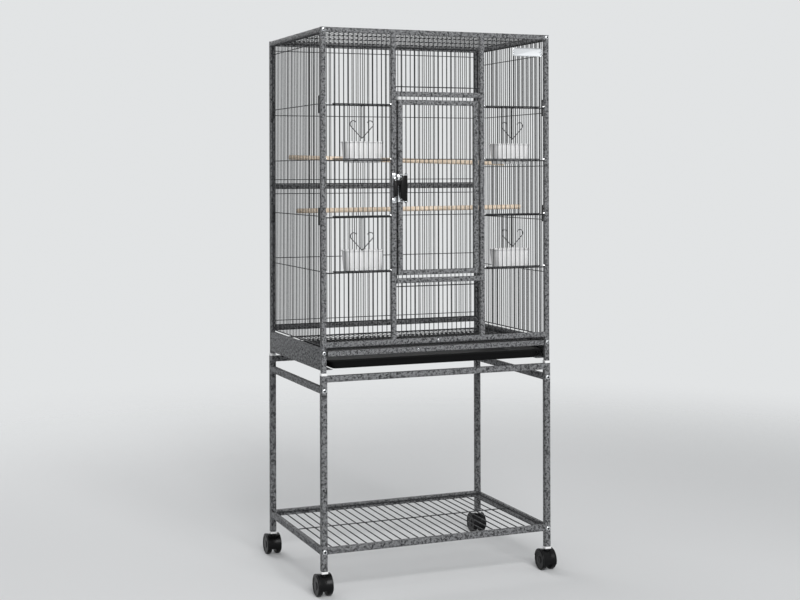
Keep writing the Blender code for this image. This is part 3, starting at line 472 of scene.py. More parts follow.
def axis_frame(centre, axis):
    """An axis as a unit vector, a direction across it, and its centre."""
    axis = Vector(axis).normalized()
    return axis, axis.orthogonal().normalized(), Vector(centre)


def spin_round(bm, verts, edges, centre, axis, steps):
    """Spin a section a full turn and close its seam and poles."""
    count = len(bm.verts) - len(verts)
    bmesh.ops.spin(bm, geom=[*verts, *edges], cent=centre, axis=axis, angle=2 * math.pi,
                   steps=steps, use_merge=True)
    bmesh.ops.remove_doubles(bm, verts=new_verts(bm, count), dist=NEAR)


def add_turned(bm, profile, centre, axis, steps=24):
    """Turn a profile of (along, radius) points about an axis through centre."""
    axis, out, centre = axis_frame(centre, axis)
    verts = [bm.verts.new(centre + axis * a + out * r) for a, r in profile]
    edges = [bm.edges.new(pair) for pair in zip(verts, verts[1:])]
    spin_round(bm, verts, edges, centre, axis, steps)


def add_ring(bm, centre, axis, radius, thick, steps=18, sides=8):
    """A closed ring of round wire."""
    axis, out, centre = axis_frame(centre, axis)
    verts = bmesh.ops.create_circle(bm, segments=sides, radius=thick / 2,
                                    matrix=facing(centre + out * radius, axis.cross(out)))["verts"]
    spin_round(bm, verts, edges_of(verts), centre, axis, steps)


# %% Helpers for bends and extruded shapes
def extrude_face(bm, face):
    """Extrude one face on the spot; returns the new face and its vertices."""
    made = bmesh.ops.extrude_face_region(bm, geom=[face])["geom"]
    verts = [g for g in made if isinstance(g, bmesh.types.BMVert)]
    return next(g for g in made if isinstance(g, bmesh.types.BMFace)), verts


def add_bent_wire(bm, points, thick, sides=8):
    """A round wire bent through points, from one disc."""
    points = [Vector(point) for point in points]
    runs = [(b - a).normalized() for a, b in zip(points, points[1:])]
    headings = [runs[0]] + [(a + b).normalized() for a, b in zip(runs, runs[1:])] + [runs[-1]]
    disc = bmesh.ops.create_circle(bm, cap_ends=True, segments=sides, radius=thick / 2,
                                   matrix=facing(points[0], headings[0]))
    face = disc["verts"][0].link_faces[0]
    for step in range(1, len(points)):
        face, verts = extrude_face(bm, face)
        swing = headings[step - 1].rotation_difference(headings[step]).to_matrix()
        for vert in verts:
            vert.co = points[step] + swing @ (vert.co - points[step - 1])


def add_extrusion(bm, outline, axis, low, high, rounding=0.0, segments=2):
    """Extrude an outline along an axis; its points hold the two other coordinates, in order."""
    def place(point, depth):
        return Vector((*point[:axis], depth, *point[axis:]))

    count = len(bm.verts)
    face = bm.faces.new([bm.verts.new(place(point, low)) for point in outline])
    _, verts = extrude_face(bm, face)
    bmesh.ops.translate(bm, verts=verts, vec=place((0, 0), high) - place((0, 0), low))
    if rounding:
        edges = edges_of(new_verts(bm, count))
        bmesh.ops.recalc_face_normals(bm, faces=bm.faces)
        ease(bm, edges, rounding, segments)


def arc(radius, start, end, steps, centre=(0.0, 0.0)):
    """Points on an arc, with its angles in degrees."""
    angles = [math.radians(start + (end - start) * step / steps) for step in range(steps + 1)]
    return [(centre[0] + radius * math.cos(a), centre[1] + radius * math.sin(a)) for a in angles]


def rounded_loop(half_x, half_y, corner, steps=4):
    """Points round a rectangle with rounded corners, from the middle of its right side."""
    points = [(half_x, 0.0)]
    for turn, (x, y) in enumerate(((1, 1), (-1, 1), (-1, -1), (1, -1))):
        centre = (x * (half_x - corner), y * (half_y - corner))
        points += arc(corner, 90 * turn, 90 * turn + 90, steps, centre)
    return points + [(half_x, 0.0)]

# %% [markdown]
# ## Handing a piece over
#
# A finished mesh becomes a piece in one step: faces turned outwards, smooth
# shading with sharp edges kept, the finish, and two facts that the frame
# needs. It rides on the body that its solid belongs to, and it stands for
# that solid.

# %% Turn a bmesh into a piece that stands for its solids
BODY_OF = {solid: body for body, members in frame["record"]["behaviour"]["bodies"].items()
           for solid in members}
SLOT_OF = {part["node"]: part["material_slot"] for part in frame["record"]["subparts"]}


def finish_piece(name, bm, finish, stands_for=(), body="cage", slot="frame_coat", sharp=40):
    """Link the piece and give it its body and the solids that it stands for; slot is not used."""
    bmesh.ops.recalc_face_normals(bm, faces=bm.faces)
    mesh = bpy.data.meshes.new(name)
    bm.to_mesh(mesh)
    bm.free()
    mesh.materials.append(finish)
    mesh.shade_smooth()
    mesh.set_sharp_from_angle(angle=math.radians(sharp))
    piece = bpy.data.objects.new(name, mesh)
    scene.collection.objects.link(piece)
    if stands_for:
        body, slot = BODY_OF[stands_for[0]], SLOT_OF[stands_for[0]]
        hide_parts(*stands_for)
    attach(piece, body)
    print(f"{name}: {len(mesh.polygons)} faces on {body}")
    return piece

# %% [markdown]
# ## The stand
#
# Each end of the stand is a welded ladder of 15 mm tube: two legs, a rail
# flush with their tops and one at the shelf. Where a rail meets a leg the
# weld leaves a thin bead in each inner corner. Bars along the sides tie the
# two ladders together; they are bolted, not welded, so they stop short of the
# legs. The shelf rails have a rebate along the top inner edge for the shelf.

# %% Weld the ladders
BEAD, BEAD_RUN = 0.0022, 0.8
RAIL_SINK, SHELF_RAIL_LIFT = 0.0016, 0.0015
BOTH, UNDER, OVER = (-1, 1), (-1,), (1,)


def add_ladder(bm, post_x, reach, y, size, ends, rails):
    """Two posts, the rails between them, and weld beads under or over the rails' ends."""
    half = size / 2
    for x in (-post_x, post_x):
        add_tube(bm, 2, *ends, (x, y), size)
    for z, sides in rails:
        add_tube(bm, 0, -reach, reach, (y, z), size)
        for x in (half - post_x, post_x - half):
            for side in sides:
                bead_z, run = z + side * half, BEAD_RUN * half
                add_wire(bm, (x, y - run, bead_z), (x, y + run, bead_z), BEAD, sides=6)


for name, y in (("stand_front_frame", FRONT_Y), ("stand_back_frame", BACK_Y)):
    bm = bmesh.new()
    add_ladder(bm, LEG_X, LEG_X - HALF_LEG + RAIL_SINK, y, LEG, (LEG_BOTTOM, LEG_TOP),
               ((LEG_TOP - HALF_LEG, UNDER), (middle("shelf_left_rail") + SHELF_RAIL_LIFT, BOTH)))
    finish_piece(name + "_tubes", bm, TUBE_COAT, (name,))

# %% Cut the side bars and fold the rebated shelf rails
LEDGE_WIDE, LEDGE_DEEP = 0.006, 0.0065
rebate_x, rebate_z = HALF_LEG - LEDGE_WIDE, HALF_LEG - LEDGE_DEEP
REBATED = [(-HALF_LEG, -HALF_LEG), (HALF_LEG, -HALF_LEG), (HALF_LEG, rebate_z), (rebate_x, rebate_z),
           (rebate_x, HALF_LEG), (-HALF_LEG, HALF_LEG)]

for word, side in SIDES:
    bar = f"stand_{word}_bar"
    bm = bmesh.new()
    add_tube(bm, 1, *extent(bar, 1), (side * LEG_X, middle(bar)), LEG)
    finish_piece(bar + "_tube", bm, TUBE_COAT, (bar,))

for word, side in SIDES:
    rail = f"shelf_{word}_rail"
    bm = bmesh.new()
    add_extrusion(bm, [(side * (LEG_X - u), middle(rail) + v) for u, v in REBATED], 1, *extent(rail, 1),
                  rounding=0.0009)
    finish_piece(rail + "_tube", bm, TUBE_COAT, (rail,))

# %% [markdown]
# ## The shelf
#
# The shelf is loose: a rim of 4 mm wire bent round at its corners, thinner
# wires laid front to back inside it, and one stiffener welded across them.
# Its own weight holds it in the rebates. The rim is one bent wire whose two
# ends meet halfway along a side.

# %% Bend the shelf's rim and weld the wires in it
SHELF_PITCH, SHELF_COUNT, SHELF_WIRE, SHELF_WELD = 0.0225, 25, 0.003, 0.0038
STIFFENER, RIM_CORNER, WELD_SHARE = 0.0026, 0.006, 1.2

low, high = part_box("shelf_mesh")
rim_z = low.z + THICK_WIRE / 2
edge_x, edge_y = high.x - THICK_WIRE / 2, high.y - THICK_WIRE / 2
on_wire_z = rim_z + SHELF_WIRE / 2
stiffener_z = on_wire_z + STIFFENER / 2
bm = bmesh.new()
add_bent_wire(bm, [(x, y, rim_z) for x, y in rounded_loop(edge_x, edge_y, RIM_CORNER)], THICK_WIRE,
              sides=10)
add_nugget(bm, (edge_x, 0.0, rim_z), THICK_WIRE * WELD_SHARE)
add_wire(bm, (-edge_x, 0, stiffener_z), (edge_x, 0, stiffener_z), STIFFENER)
for n in range(SHELF_COUNT):
    x = (n - (SHELF_COUNT - 1) / 2) * SHELF_PITCH
    add_wire(bm, (x, -edge_y, rim_z), (x, edge_y, rim_z), SHELF_WIRE)
    for y, z in ((-edge_y, rim_z), (0.0, on_wire_z), (edge_y, rim_z)):
        add_nugget(bm, (x, y, z), SHELF_WELD)
finish_piece("shelf_wires", bm, WIRE_COAT, ("shelf_mesh",))

# %% [markdown]
# ## White plastic plugs
#
# A plug joins each leg to the cage post above it, and another closes the
# leg's foot and holds the caster's stem. What shows of them is a white collar
# between two dark tubes, with softly rounded edges as every moulding has.

# %% Mould the leg sleeves and the caster sockets
COLLAR_ROUNDING = 0.0013
SPIGOT_HALF, PLUG_HALF, PLUG_LAP = 0.0042, 0.0059, 0.002


def add_column(bm, x, y, half, low, high, rounding=0.0):
    """A square column round a corner's axis."""
    add_block(bm, (x - half, y - half, low), (x + half, y + half, high), rounding)


for corner, (x, y) in CORNERS.items():
    sleeve, socket = "leg_sleeve_" + corner, "caster_socket_" + corner
    low, high = extent(sleeve)
    bm = bmesh.new()
    add_column(bm, x, y, HALF_LEG, LEG_TOP + GAP, POST_BOTTOM - GAP, COLLAR_ROUNDING)
    add_column(bm, x, y, PLUG_HALF, low, LEG_TOP + PLUG_LAP)
    add_column(bm, x, y, SPIGOT_HALF, POST_BOTTOM - PLUG_LAP, high)
    finish_piece("leg_plug_" + corner, bm, POLYPROPYLENE, (sleeve,))
    low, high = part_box(socket)
    bm = bmesh.new()
    add_block(bm, low, (high.x, high.y, LEG_BOTTOM - GAP), COLLAR_ROUNDING)
    add_column(bm, x, y, PLUG_HALF, LEG_BOTTOM - PLUG_LAP, high.z)
    finish_piece("foot_plug_" + corner, bm, POLYPROPYLENE, (socket,))

# %% [markdown]
# ## Caster hoods
#
# A twin-wheel caster has a hood over both wheels, drawn in at the middle so
# that it looks like a spool, and a web between the wheels that carries the
# axle. The hood's section is spun through a little over half a turn. The
# V-shaped recess under the stem is cut with two pairs of planes: the points
# inside the inner pair are pushed down to the recess's floor, and the narrow
# strip between the pairs becomes its wall.

# %% Sizes of the casters
WHEELS, HOOD = "caster_wheels_front_left", "caster_hood_front_left"
WHEEL_RADIUS, WHEEL_OUT, WHEEL_IN = middle(WHEELS), span(WHEELS, 0) / 2, 0.0065
AXLE = Vector((0.0, middle(WHEELS, 1) - FRONT_Y, WHEEL_RADIUS))
HOOD_HALF, STEM_TOP = span(HOOD, 0) / 2, extent(HOOD)[1]
HOOD_OUTER, HOOD_WAIST, HOOD_INNER, HOOD_CORE, HOOD_LIP = 0.0278, 0.0262, 0.0257, 0.0232, 0.0025
HOOD_FRONT, HOOD_BACK, HOOD_STEPS = 199.0, 12.0, 44
NOTCH_LOW, NOTCH_HALF, NOTCH_FLOOR, NOTCH_WALL = 0.034, 0.0082, 0.0248, 0.0005
WEB_HALF, WEB_HUB, WEB_INSET, WEB_LAP = 0.0045, 0.0075, 6, 0.001
BOSS_TOP = extent("caster_socket_front_left")[0] - GAP
BOSS_LOW, BOSS_WIDE, BOSS_NECK, BOSS_TIP, BOSS_EASE = 0.047, 0.0066, 0.0062, 0.0054, 0.0008
STEM_LOW, AXLE_LAP = 0.050, 0.002

# %% Spin the hoods and press the recess into them
def hood_section():
    """Half width and radius round the hood's skin: the waisted outside, then the inside."""
    rise = (HOOD_OUTER - HOOD_WAIST) / 2
    across = [HOOD_HALF * n / 8 for n in range(-8, 9)]
    outside = [(x, HOOD_WAIST + rise * (1 - math.cos(math.pi * x / HOOD_HALF))) for x in across]
    inside = [(HOOD_HALF, HOOD_INNER), (WHEEL_IN + HOOD_LIP, HOOD_INNER), (WHEEL_IN - 0.0005, HOOD_CORE)]
    return outside + inside + [(-x, r) for x, r in reversed(inside)]


def press_notch(bm):
    """Push the skin in between two slanted planes, under the stem."""
    tip = Vector((0, 0, NOTCH_LOW))
    rise = BOSS_TOP - NOTCH_LOW
    long = math.hypot(rise, NOTCH_HALF)
    slants = [Vector((side * rise / long, 0, -NOTCH_HALF / long)) for side in BOTH]
    for slant in slants:
        for inset in (0.0, NOTCH_WALL):
            front = [f for f in bm.faces if f.calc_center_median().y < 0]
            edges = dict.fromkeys(e for f in front for e in f.edges)
            verts = dict.fromkeys(v for f in front for v in f.verts)
            bmesh.ops.bisect_plane(bm, geom=[*front, *edges, *verts], dist=NEAR,
                                   plane_co=tip - slant * inset, plane_no=slant)
    for vert in bm.verts:
        depth = min(-slant.dot(vert.co - tip) for slant in slants)
        radial = Vector((0, vert.co.y - AXLE.y, vert.co.z - AXLE.z))
        if vert.co.y < 0 and depth > 0.9 * NOTCH_WALL and radial.length > NOTCH_FLOOR:
            vert.co -= radial.normalized() * (radial.length - NOTCH_FLOOR)


def hood():
    """One hood, with its web, boss and stem, over the origin."""
    bm = bmesh.new()
    front = math.radians(HOOD_FRONT)
    face = bm.faces.new([bm.verts.new((x, AXLE.y + r * math.cos(front), AXLE.z + r * math.sin(front)))
                         for x, r in hood_section()])
    bmesh.ops.spin(bm, geom=[face, *face.edges, *face.verts], cent=AXLE, axis=(1, 0, 0),
                   angle=math.radians(HOOD_BACK - HOOD_FRONT), steps=HOOD_STEPS)
    press_notch(bm)
    web = arc(HOOD_CORE + WEB_LAP, HOOD_FRONT - WEB_INSET, HOOD_BACK + WEB_INSET, 30, AXLE.yz)
    add_extrusion(bm, web + arc(WEB_HUB, 0, -150, 8, AXLE.yz), 0, -WEB_HALF, WEB_HALF)
    boss = [(BOSS_LOW, 0.0), (BOSS_LOW, BOSS_WIDE), (BOSS_TOP - BOSS_EASE, BOSS_NECK),
            (BOSS_TOP, BOSS_TIP), (BOSS_TOP, 0.0)]
    add_turned(bm, boss, (0, 0, 0), (0, 0, 1), steps=28)
    add_wire(bm, (0, 0, STEM_LOW), (0, 0, STEM_TOP), thick=0.008, sides=16)
    return bm

# %% [markdown]
# ## Caster wheels
#
# Each wheel is turned from one profile: rounded shoulders on the tread, a
# raised rim band, a shallow groove inside it, a dished face and a hub cap.
# The two wheels share an axle through the web.

# %% Turn the wheels and fit the casters
def wheel_profile():
    """Distance out along the axle and radius, from the inner face to the hub cap."""
    tread, face = WHEEL_RADIUS, WHEEL_OUT
    inner = [(WHEEL_IN, 0.0), (WHEEL_IN, tread - 0.0022), (WHEEL_IN + 0.0006, tread - 0.0008)]
    shoulders = [(WHEEL_IN + 0.0020, tread), (face - 0.0030, tread), (face - 0.0012, tread - 0.0006)]
    rim_band = [(face - 0.0003, tread - 0.0020), (face - 0.0003, tread - 0.0042)]
    dish = [(face - 0.0012, tread - 0.0048), (face - 0.0014, 0.0105)]
    hub_cap = [(face - 0.0004, 0.0098), (face, 0.0088), (face, 0.0040), (face - 0.0006, 0.0)]
    return inner + shoulders + rim_band + dish + hub_cap


for corner, (x, y) in CORNERS.items():
    bm = hood()
    bmesh.ops.translate(bm, verts=bm.verts, vec=(x, y, 0))
    finish_piece("hood_" + corner, bm, BLACK_NYLON, ("caster_hood_" + corner,), sharp=32)
    centre, axle_end = AXLE + Vector((x, y, 0)), Vector((WHEEL_IN + AXLE_LAP, 0, 0))
    bm = bmesh.new()
    for side in BOTH:
        add_turned(bm, wheel_profile(), centre, (side, 0, 0), steps=48)
    add_wire(bm, centre - axle_end, centre + axle_end, thick=0.005)
    finish_piece("wheels_" + corner, bm, BLACK_NYLON, ("caster_wheels_" + corner,), sharp=32)

# %% [markdown]
# ## The welded cage frames
#
# The front and the back of the cage are panels of 12 mm tube. Corner posts
# run the whole height; rails run between them and are sunk a little into the
# posts' rounded edges, as a weld fills that corner. In front, two more posts,
# a header and a sill frame the doorway.

# %% Weld the front and back frames
POST_SINK = 0.0013
CORNER_REACH = LEG_X - HALF_POST + POST_SINK
DOOR_REACH = DOOR_POST_X - HALF_POST + POST_SINK
LOW_END, HIGH_END = LOW_RAIL_Z + HALF_POST - POST_SINK, TOP_RAIL_Z - HALF_POST + POST_SINK
WALL_HEIGHT = (POST_BOTTOM, TOP_Z)
MIDDLE_RAILS = {"front": (), "back": ((MID_RAIL_Z, BOTH),)}

for end, y in (("front", FRONT_Y), ("back", BACK_Y)):
    bm = bmesh.new()
    add_ladder(bm, LEG_X, CORNER_REACH, y, POST, WALL_HEIGHT,
               ((LOW_RAIL_Z, BOTH), *MIDDLE_RAILS[end], (TOP_RAIL_Z, UNDER)))
    if end == "front":
        add_ladder(bm, DOOR_POST_X, DOOR_REACH, y, POST, (LOW_END, HIGH_END),
                   ((SILL_Z, BOTH), (HEADER_Z, BOTH)))
    finish_piece(end + "_frame_tubes", bm, TUBE_COAT, (end + "_frame",))

# %% [markdown]
# ## Wire mats
#
# Every wall of the cage is the same thing in another plane: parallel wires at
# a 12 mm pitch, a few spacer wires laid across their backs, and a spot weld at
# each crossing. So one function turns a wall's own coordinates into points,
# and another lays a mat of uprights and spacers on it.

# %% Helpers that lay a wire mat on a wall
BACK_DEPTH, EDGE_WELD_SHARE = WIRE + GAP, 1.12


def on_wall(axis_u, axis_v, plane):
    """Turns (u, v, depth) on a flat wall into a point; the wall's plane is given."""
    def place(u, v, depth=0.0):
        point = Vector()
        point[axis_u], point[axis_v], point[3 - axis_u - axis_v] = u, v, plane + depth
        return point
    return place


def add_mat(bm, wall, uprights, ends, spacers=(), half_width=0.0, depth=BACK_DEPTH):
    """Uprights between two heights, with spacer wires welded across them at a depth."""
    for u in uprights:
        add_wire(bm, wall(u, ends[0]), wall(u, ends[1]), WIRE)
    for v in spacers:
        add_wire(bm, wall(-half_width, v, depth), wall(half_width, v, depth), WIRE)
        for u in uprights:
            add_nugget(bm, wall(u, v, depth / 2), WIRE * WELD_SHARE)


def add_edge(bm, wall, start, end, v, uprights=(), thick=EDGE_WIRE):
    """A thicker wire that closes a mat at a height, with a weld at each upright."""
    add_wire(bm, wall(start, v), wall(end, v), thick, sides=12)
    for u in uprights:
        add_nugget(bm, wall(u, v), thick * EDGE_WELD_SHARE)


def pitch_row(last):
    """Wire places at whole steps of the pitch, from one side to the other."""
    return [n * PITCH for n in range(-last, last + 1)]


def bay_row(side, places):
    """Wire places in the bay beside the door post, counted outwards."""
    return [side * (BAY_FIRST_X + n * PITCH) for n in places]


FRONT_WALL, BACK_WALL = on_wall(0, 2, FRONT_Y), on_wall(0, 2, BACK_Y)
print("pitch", PITCH * 1000, "mm; the gap between two wires is", round((PITCH - WIRE) * 1000, 2), "mm")

# %% [markdown]
# ## The front's wires
#
# Each side bay has ten wires that stop at the feeder openings and three guide
# wires that run the whole height, for the gates to slide on. The thicker edge
# wires of the openings run from post to post. Over and under the door the
# wires are closer to a plain mat.

# %% Weld the front's fixed wires
BAY_WIRES, GUIDES = range(1, 11), (0, 11, 12)
BAY_SINK = 0.0006
BAY_ENDS = (DOOR_POST_X + HALF_POST - BAY_SINK, LEG_X - HALF_POST + BAY_SINK)
DOORWAY_ROW, DOORWAY_EDGE = pitch_row(8), 0.0026
DOORWAY_MATS = {"header": (HEADER_Z + HALF_POST - POST_SINK, HIGH_END, 1.212),
                "sill": (LOW_END, SILL_Z - HALF_POST + POST_SINK, 0.728)}


def bay_edges(level):
    """Heights of the edge wires under and over one feeder opening."""
    return FEEDER_LOW[level] - EDGE_HALF, FEEDER_LOW[level] + FEEDER_OPEN + EDGE_HALF


for word, side in SIDES:
    heights = (LOW_END, *bay_edges("lower"), *bay_edges("upper"), HIGH_END)
    for section, ends in zip(("low", "mid", "high"), (heights[0:2], heights[2:4], heights[4:6])):
        row = bay_row(side, BAY_WIRES)
        bm = bmesh.new()
        add_mat(bm, FRONT_WALL, row, ends)
        for z in ends:
            if z not in (LOW_END, HIGH_END):
                add_edge(bm, FRONT_WALL, side * BAY_ENDS[0], side * BAY_ENDS[1], z, row)
        finish_piece(f"{word}_bay_{section}_mat", bm, WIRE_COAT, (f"{word}_bay_{section}_wires",))

bm = bmesh.new()
add_mat(bm, FRONT_WALL, bay_row(-1, GUIDES) + bay_row(1, GUIDES), (LOW_END, HIGH_END))
finish_piece("guide_wires", bm, WIRE_COAT, slot="wire_coat")

for name, (start, end, edge_z) in DOORWAY_MATS.items():
    bm = bmesh.new()
    add_mat(bm, FRONT_WALL, DOORWAY_ROW, (start, end))
    add_edge(bm, FRONT_WALL, -DOOR_REACH, DOOR_REACH, edge_z, DOORWAY_ROW, DOORWAY_EDGE)
    finish_piece(name + "_mat", bm, WIRE_COAT, (name + "_wires",))

# %% [markdown]
# ## The back's and the sides' wires
#
# The back has two mats, over and under its middle rail, welded in. The side
# mats are loose panels, so that the cage packs flat: they hook on the corner
# posts by four small plates.

# %% Weld the back mats
WALL_ROW = pitch_row(23)
BACK_SPACERS = {"lower": (0.615, 0.780, 0.949), "upper": (0.986, 1.155, 1.325)}
RAIL_LAP = 0.001

for level, spacers in BACK_SPACERS.items():
    low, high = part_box("back_wires_" + level)
    foot, reach = low.z + EDGE_HALF, high.x - EDGE_HALF
    bm = bmesh.new()
    add_mat(bm, BACK_WALL, WALL_ROW, (foot, high.z + RAIL_LAP), spacers, reach, -BACK_DEPTH)
    add_edge(bm, BACK_WALL, -reach, reach, foot, WALL_ROW)
    for x in (-reach, reach):
        add_wire(bm, BACK_WALL(x, foot - EDGE_HALF), BACK_WALL(x, high.z), EDGE_WIRE, sides=12)
    finish_piece(f"back_{level}_mat", bm, WIRE_COAT, ("back_wires_" + level,))

# %% Weld the side panels and their hook plates
SIDE_ROW = pitch_row(15)
SIDE_SPACERS = (0.768, 0.900, 1.035, 1.169, 1.315)
SPACER_DROP = {"left": 0.0, "right": 0.0155}
PANEL_CORNER = 0.005
HOOK_PLATES = (0.900, 1.167)
HOOK_THICK, HOOK_PROUD, HOOK_WIDE, HOOK_HALF = 0.0016, 0.0060, 0.0160, 0.021

for word, side in SIDES:
    low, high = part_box(word + "_panel")
    wall = on_wall(1, 2, side * LEG_X)
    foot, head, reach = low.z + EDGE_HALF, high.z - EDGE_HALF, high.y - EDGE_HALF
    middle_z = (high.z + low.z) / 2
    bm = bmesh.new()
    add_mat(bm, wall, SIDE_ROW, (foot, head), [z - SPACER_DROP[word] for z in SIDE_SPACERS],
            reach, -side * BACK_DEPTH)
    loop = rounded_loop(reach, (high.z - low.z) / 2 - EDGE_HALF, PANEL_CORNER)
    add_bent_wire(bm, [wall(y, middle_z + z) for y, z in loop], EDGE_WIRE, sides=12)
    for y in SIDE_ROW:
        for z in (foot, head):
            add_nugget(bm, wall(y, z), EDGE_WIRE * EDGE_WELD_SHARE)
    finish_piece(word + "_panel_mat", bm, WIRE_COAT, (word + "_panel",))
    bm = bmesh.new()
    x0, x1 = sorted((side * (LEG_X - HOOK_THICK), side * (LEG_X + HOOK_PROUD)))
    for z in HOOK_PLATES:
        for end in BOTH:
            y0, y1 = sorted((end * high.y, end * (high.y - HOOK_WIDE)))
            add_block(bm, (x0, y0, z - HOOK_HALF), (x1, y1, z + HOOK_HALF), rounding=0.0009)
    finish_piece(word + "_hook_plates", bm, WIRE_COAT, slot="wire_coat")

# %% [markdown]
# ## The roof
#
# The roof lifts off: two tubes lie between the front and back frames at the
# sides, with wires front to back between them on three spacers, all in the
# height of one tube.

# %% Weld the roof
low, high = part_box("top_panel")
ROOF = on_wall(0, 1, TOP_RAIL_Z)
FLAT_SPACERS = (-0.100, 0.0, 0.100)
bm = bmesh.new()
for x in (-LEG_X, LEG_X):
    add_tube(bm, 1, low.y, high.y, (x, TOP_RAIL_Z), POST)
finish_piece("roof_tubes", bm, TUBE_COAT, ("top_panel",))
bm = bmesh.new()
front = low.y + EDGE_HALF
add_mat(bm, ROOF, WALL_ROW, (front, high.y), FLAT_SPACERS, CORNER_REACH, -BACK_DEPTH)
for y in (front, high.y - EDGE_HALF):
    add_edge(bm, ROOF, -CORNER_REACH, CORNER_REACH, y, WALL_ROW)
finish_piece("roof_mat", bm, WIRE_COAT, slot="wire_coat")

# %% [markdown]
# ## The pull-out grate and its runners
#
# The grate is the cage's floor: a mat on a rim of 4 mm wire, behind a square
# bar that closes the front. It and the tray slide in two runners, each one
# strip of sheet folded into a lip for the tray, a ledge for the grate and a
# hemmed top edge. The folds are rounded by less than half its thickness.

# %% Weld the grate
low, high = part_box("grate")
GRATE_DROP, RIM_WELD = 0.0035, 0.0034
BAR_Z = high.z - HALF_POST
GRATE_Z = BAR_Z - GRATE_DROP
GRATE = on_wall(0, 1, GRATE_Z)
rim_x, rim_y = high.x - THICK_WIRE / 2, high.y - THICK_WIRE / 2
behind_bar = FRONT_Y + HALF_POST - POST_SINK

bm = bmesh.new()
add_tube(bm, 0, low.x, high.x, (FRONT_Y, BAR_Z), POST)
finish_piece("grate_bar", bm, TUBE_COAT, ("grate",))
bm = bmesh.new()
add_mat(bm, GRATE, WALL_ROW, (behind_bar, rim_y), FLAT_SPACERS, rim_x)
rim = [(rim_x, behind_bar)] + arc(RIM_CORNER, 0, 90, 5, (rim_x - RIM_CORNER, rim_y - RIM_CORNER))
rim += [(-x, y) for x, y in reversed(rim)]
add_bent_wire(bm, [GRATE(x, y) for x, y in rim], THICK_WIRE, sides=12)
for x in WALL_ROW:
    add_nugget(bm, GRATE(x, rim_y), RIM_WELD)
finish_piece("grate_mat", bm, WIRE_COAT, body="grate", slot="wire_coat")

# %% Fold the two runners
SHEET, HEM_DEEP = 0.0015, 0.009
RUNNER_LIP, RUNNER_LEDGE, RUNNER_HEM = 0.0315, 0.0200, 0.0105

for word, side in SIDES:
    low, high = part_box("runner_" + word)
    out = high.x if side > 0 else -low.x
    wall_in, lip_in, ledge_in = out - SHEET, out - RUNNER_LIP, out - RUNNER_LEDGE
    hem_in, hem_out, hem_z = out - RUNNER_HEM, out - RUNNER_HEM + SHEET, high.z - HEM_DEEP
    ledge = GRATE_Z - THICK_WIRE / 2 - GAP
    outline = [(out, low.z), (lip_in, low.z), (lip_in, low.z + SHEET), (wall_in, low.z + SHEET),
               (wall_in, ledge - SHEET), (ledge_in, ledge - SHEET), (ledge_in, ledge), (wall_in, ledge),
               (wall_in, high.z - SHEET), (hem_out, high.z - SHEET), (hem_out, hem_z),
               (hem_in, hem_z), (hem_in, high.z), (out, high.z)]
    bm = bmesh.new()
    add_extrusion(bm, [(side * x, z) for x, z in outline], 1, low.y, high.y, rounding=0.0006)
    finish_piece(f"runner_{word}_fold", bm, TUBE_COAT, ("runner_" + word,))

# %% [markdown]
# ## Moulded tubs
#
# The tray and the seed cups are thin mouldings with draft: the base is a
# little smaller than the mouth, so that they leave the mould. One function
# starts from a box without its lid, draws the base in, rounds the uprights
# and the foot, and turns a rim out and down. Solidify gives the wall, and a
# small Bevel takes the hardness off the rim.

# %% Mould a tub, and the tray with it
RIM_EASE, SHARP_RIM = 0.22, 50


def moulded_tub(name, low, high, draft, corner, foot, lip, hem, wall, finish, solid):
    """An open tub; low and high bound it outside its wall, rim included."""
    low, high = Vector(low), Vector(high)
    half = Vector((1, 1, 1)) * wall / 2
    inner_low = low + half + Vector((lip, lip, 0))
    inner_high = high - half - Vector((lip, lip, 0))
    bm = bmesh.new()
    add_block(bm, inner_low, inner_high)
    lid = max(bm.faces, key=lambda face: face.calc_center_median().z)
    bmesh.ops.delete(bm, geom=[lid], context="FACES_ONLY")
    centre = Matrix.Translation(-(inner_low + inner_high) / 2)
    base = [v for v in bm.verts if v.co.z < centre.inverted().translation.z]
    bmesh.ops.scale(bm, verts=base, vec=(*draft, 1.0), space=centre)
    ease(bm, [e for e in bm.edges if abs(e.verts[0].co.z - e.verts[1].co.z) > 0.001], corner, 6)
    ease(bm, [e for e in bm.edges if all(v.co.z < inner_low.z + 1e-5 for v in e.verts)], foot, 3)
    long = high - low - 2 * half
    for grow, drop in ((lip, 0.0), (0.0, hem)):
        rim = [e for e in bm.edges if e.is_boundary]
        verts = [v for v in bmesh.ops.extrude_edge_only(bm, edges=rim)["geom"]
                 if isinstance(v, bmesh.types.BMVert)]
        size = (1 + 2 * grow / (long.x - 2 * grow), 1 + 2 * grow / (long.y - 2 * grow), 1.0)
        bmesh.ops.scale(bm, verts=verts, vec=size, space=centre)
        bmesh.ops.translate(bm, verts=verts, vec=(0, 0, -drop))
    piece = finish_piece(name, bm, finish, (solid,), sharp=SHARP_RIM)
    shell = piece.modifiers.new("wall", "SOLIDIFY")
    shell.thickness = wall
    shell.offset = 0.0
    shell.use_even_offset = True
    eased = piece.modifiers.new("eased_rim", "BEVEL")
    eased.width = RIM_EASE * wall
    eased.segments = 2
    eased.limit_method = "ANGLE"
    eased.angle_limit = math.radians(SHARP_RIM)


moulded_tub("tray_tub", *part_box("tray"), draft=(0.965, 0.975), corner=0.010, foot=0.003, lip=0.006,
            hem=0.0035, wall=0.0020, finish=TRAY_BLACK, solid="tray")

# %% [markdown]
# ## Seed cups
#
# Each cup stands behind its opening on two moulded hooks that lie over the
# lower edge wire. Their white skin is the palest thing on the cage.

# %% Mould the cups and their hooks
CUP_LIP = 0.0025
HOOK_OFFSET, HOOK_BROAD, HOOK_TALL = 0.024, 0.008, 0.004

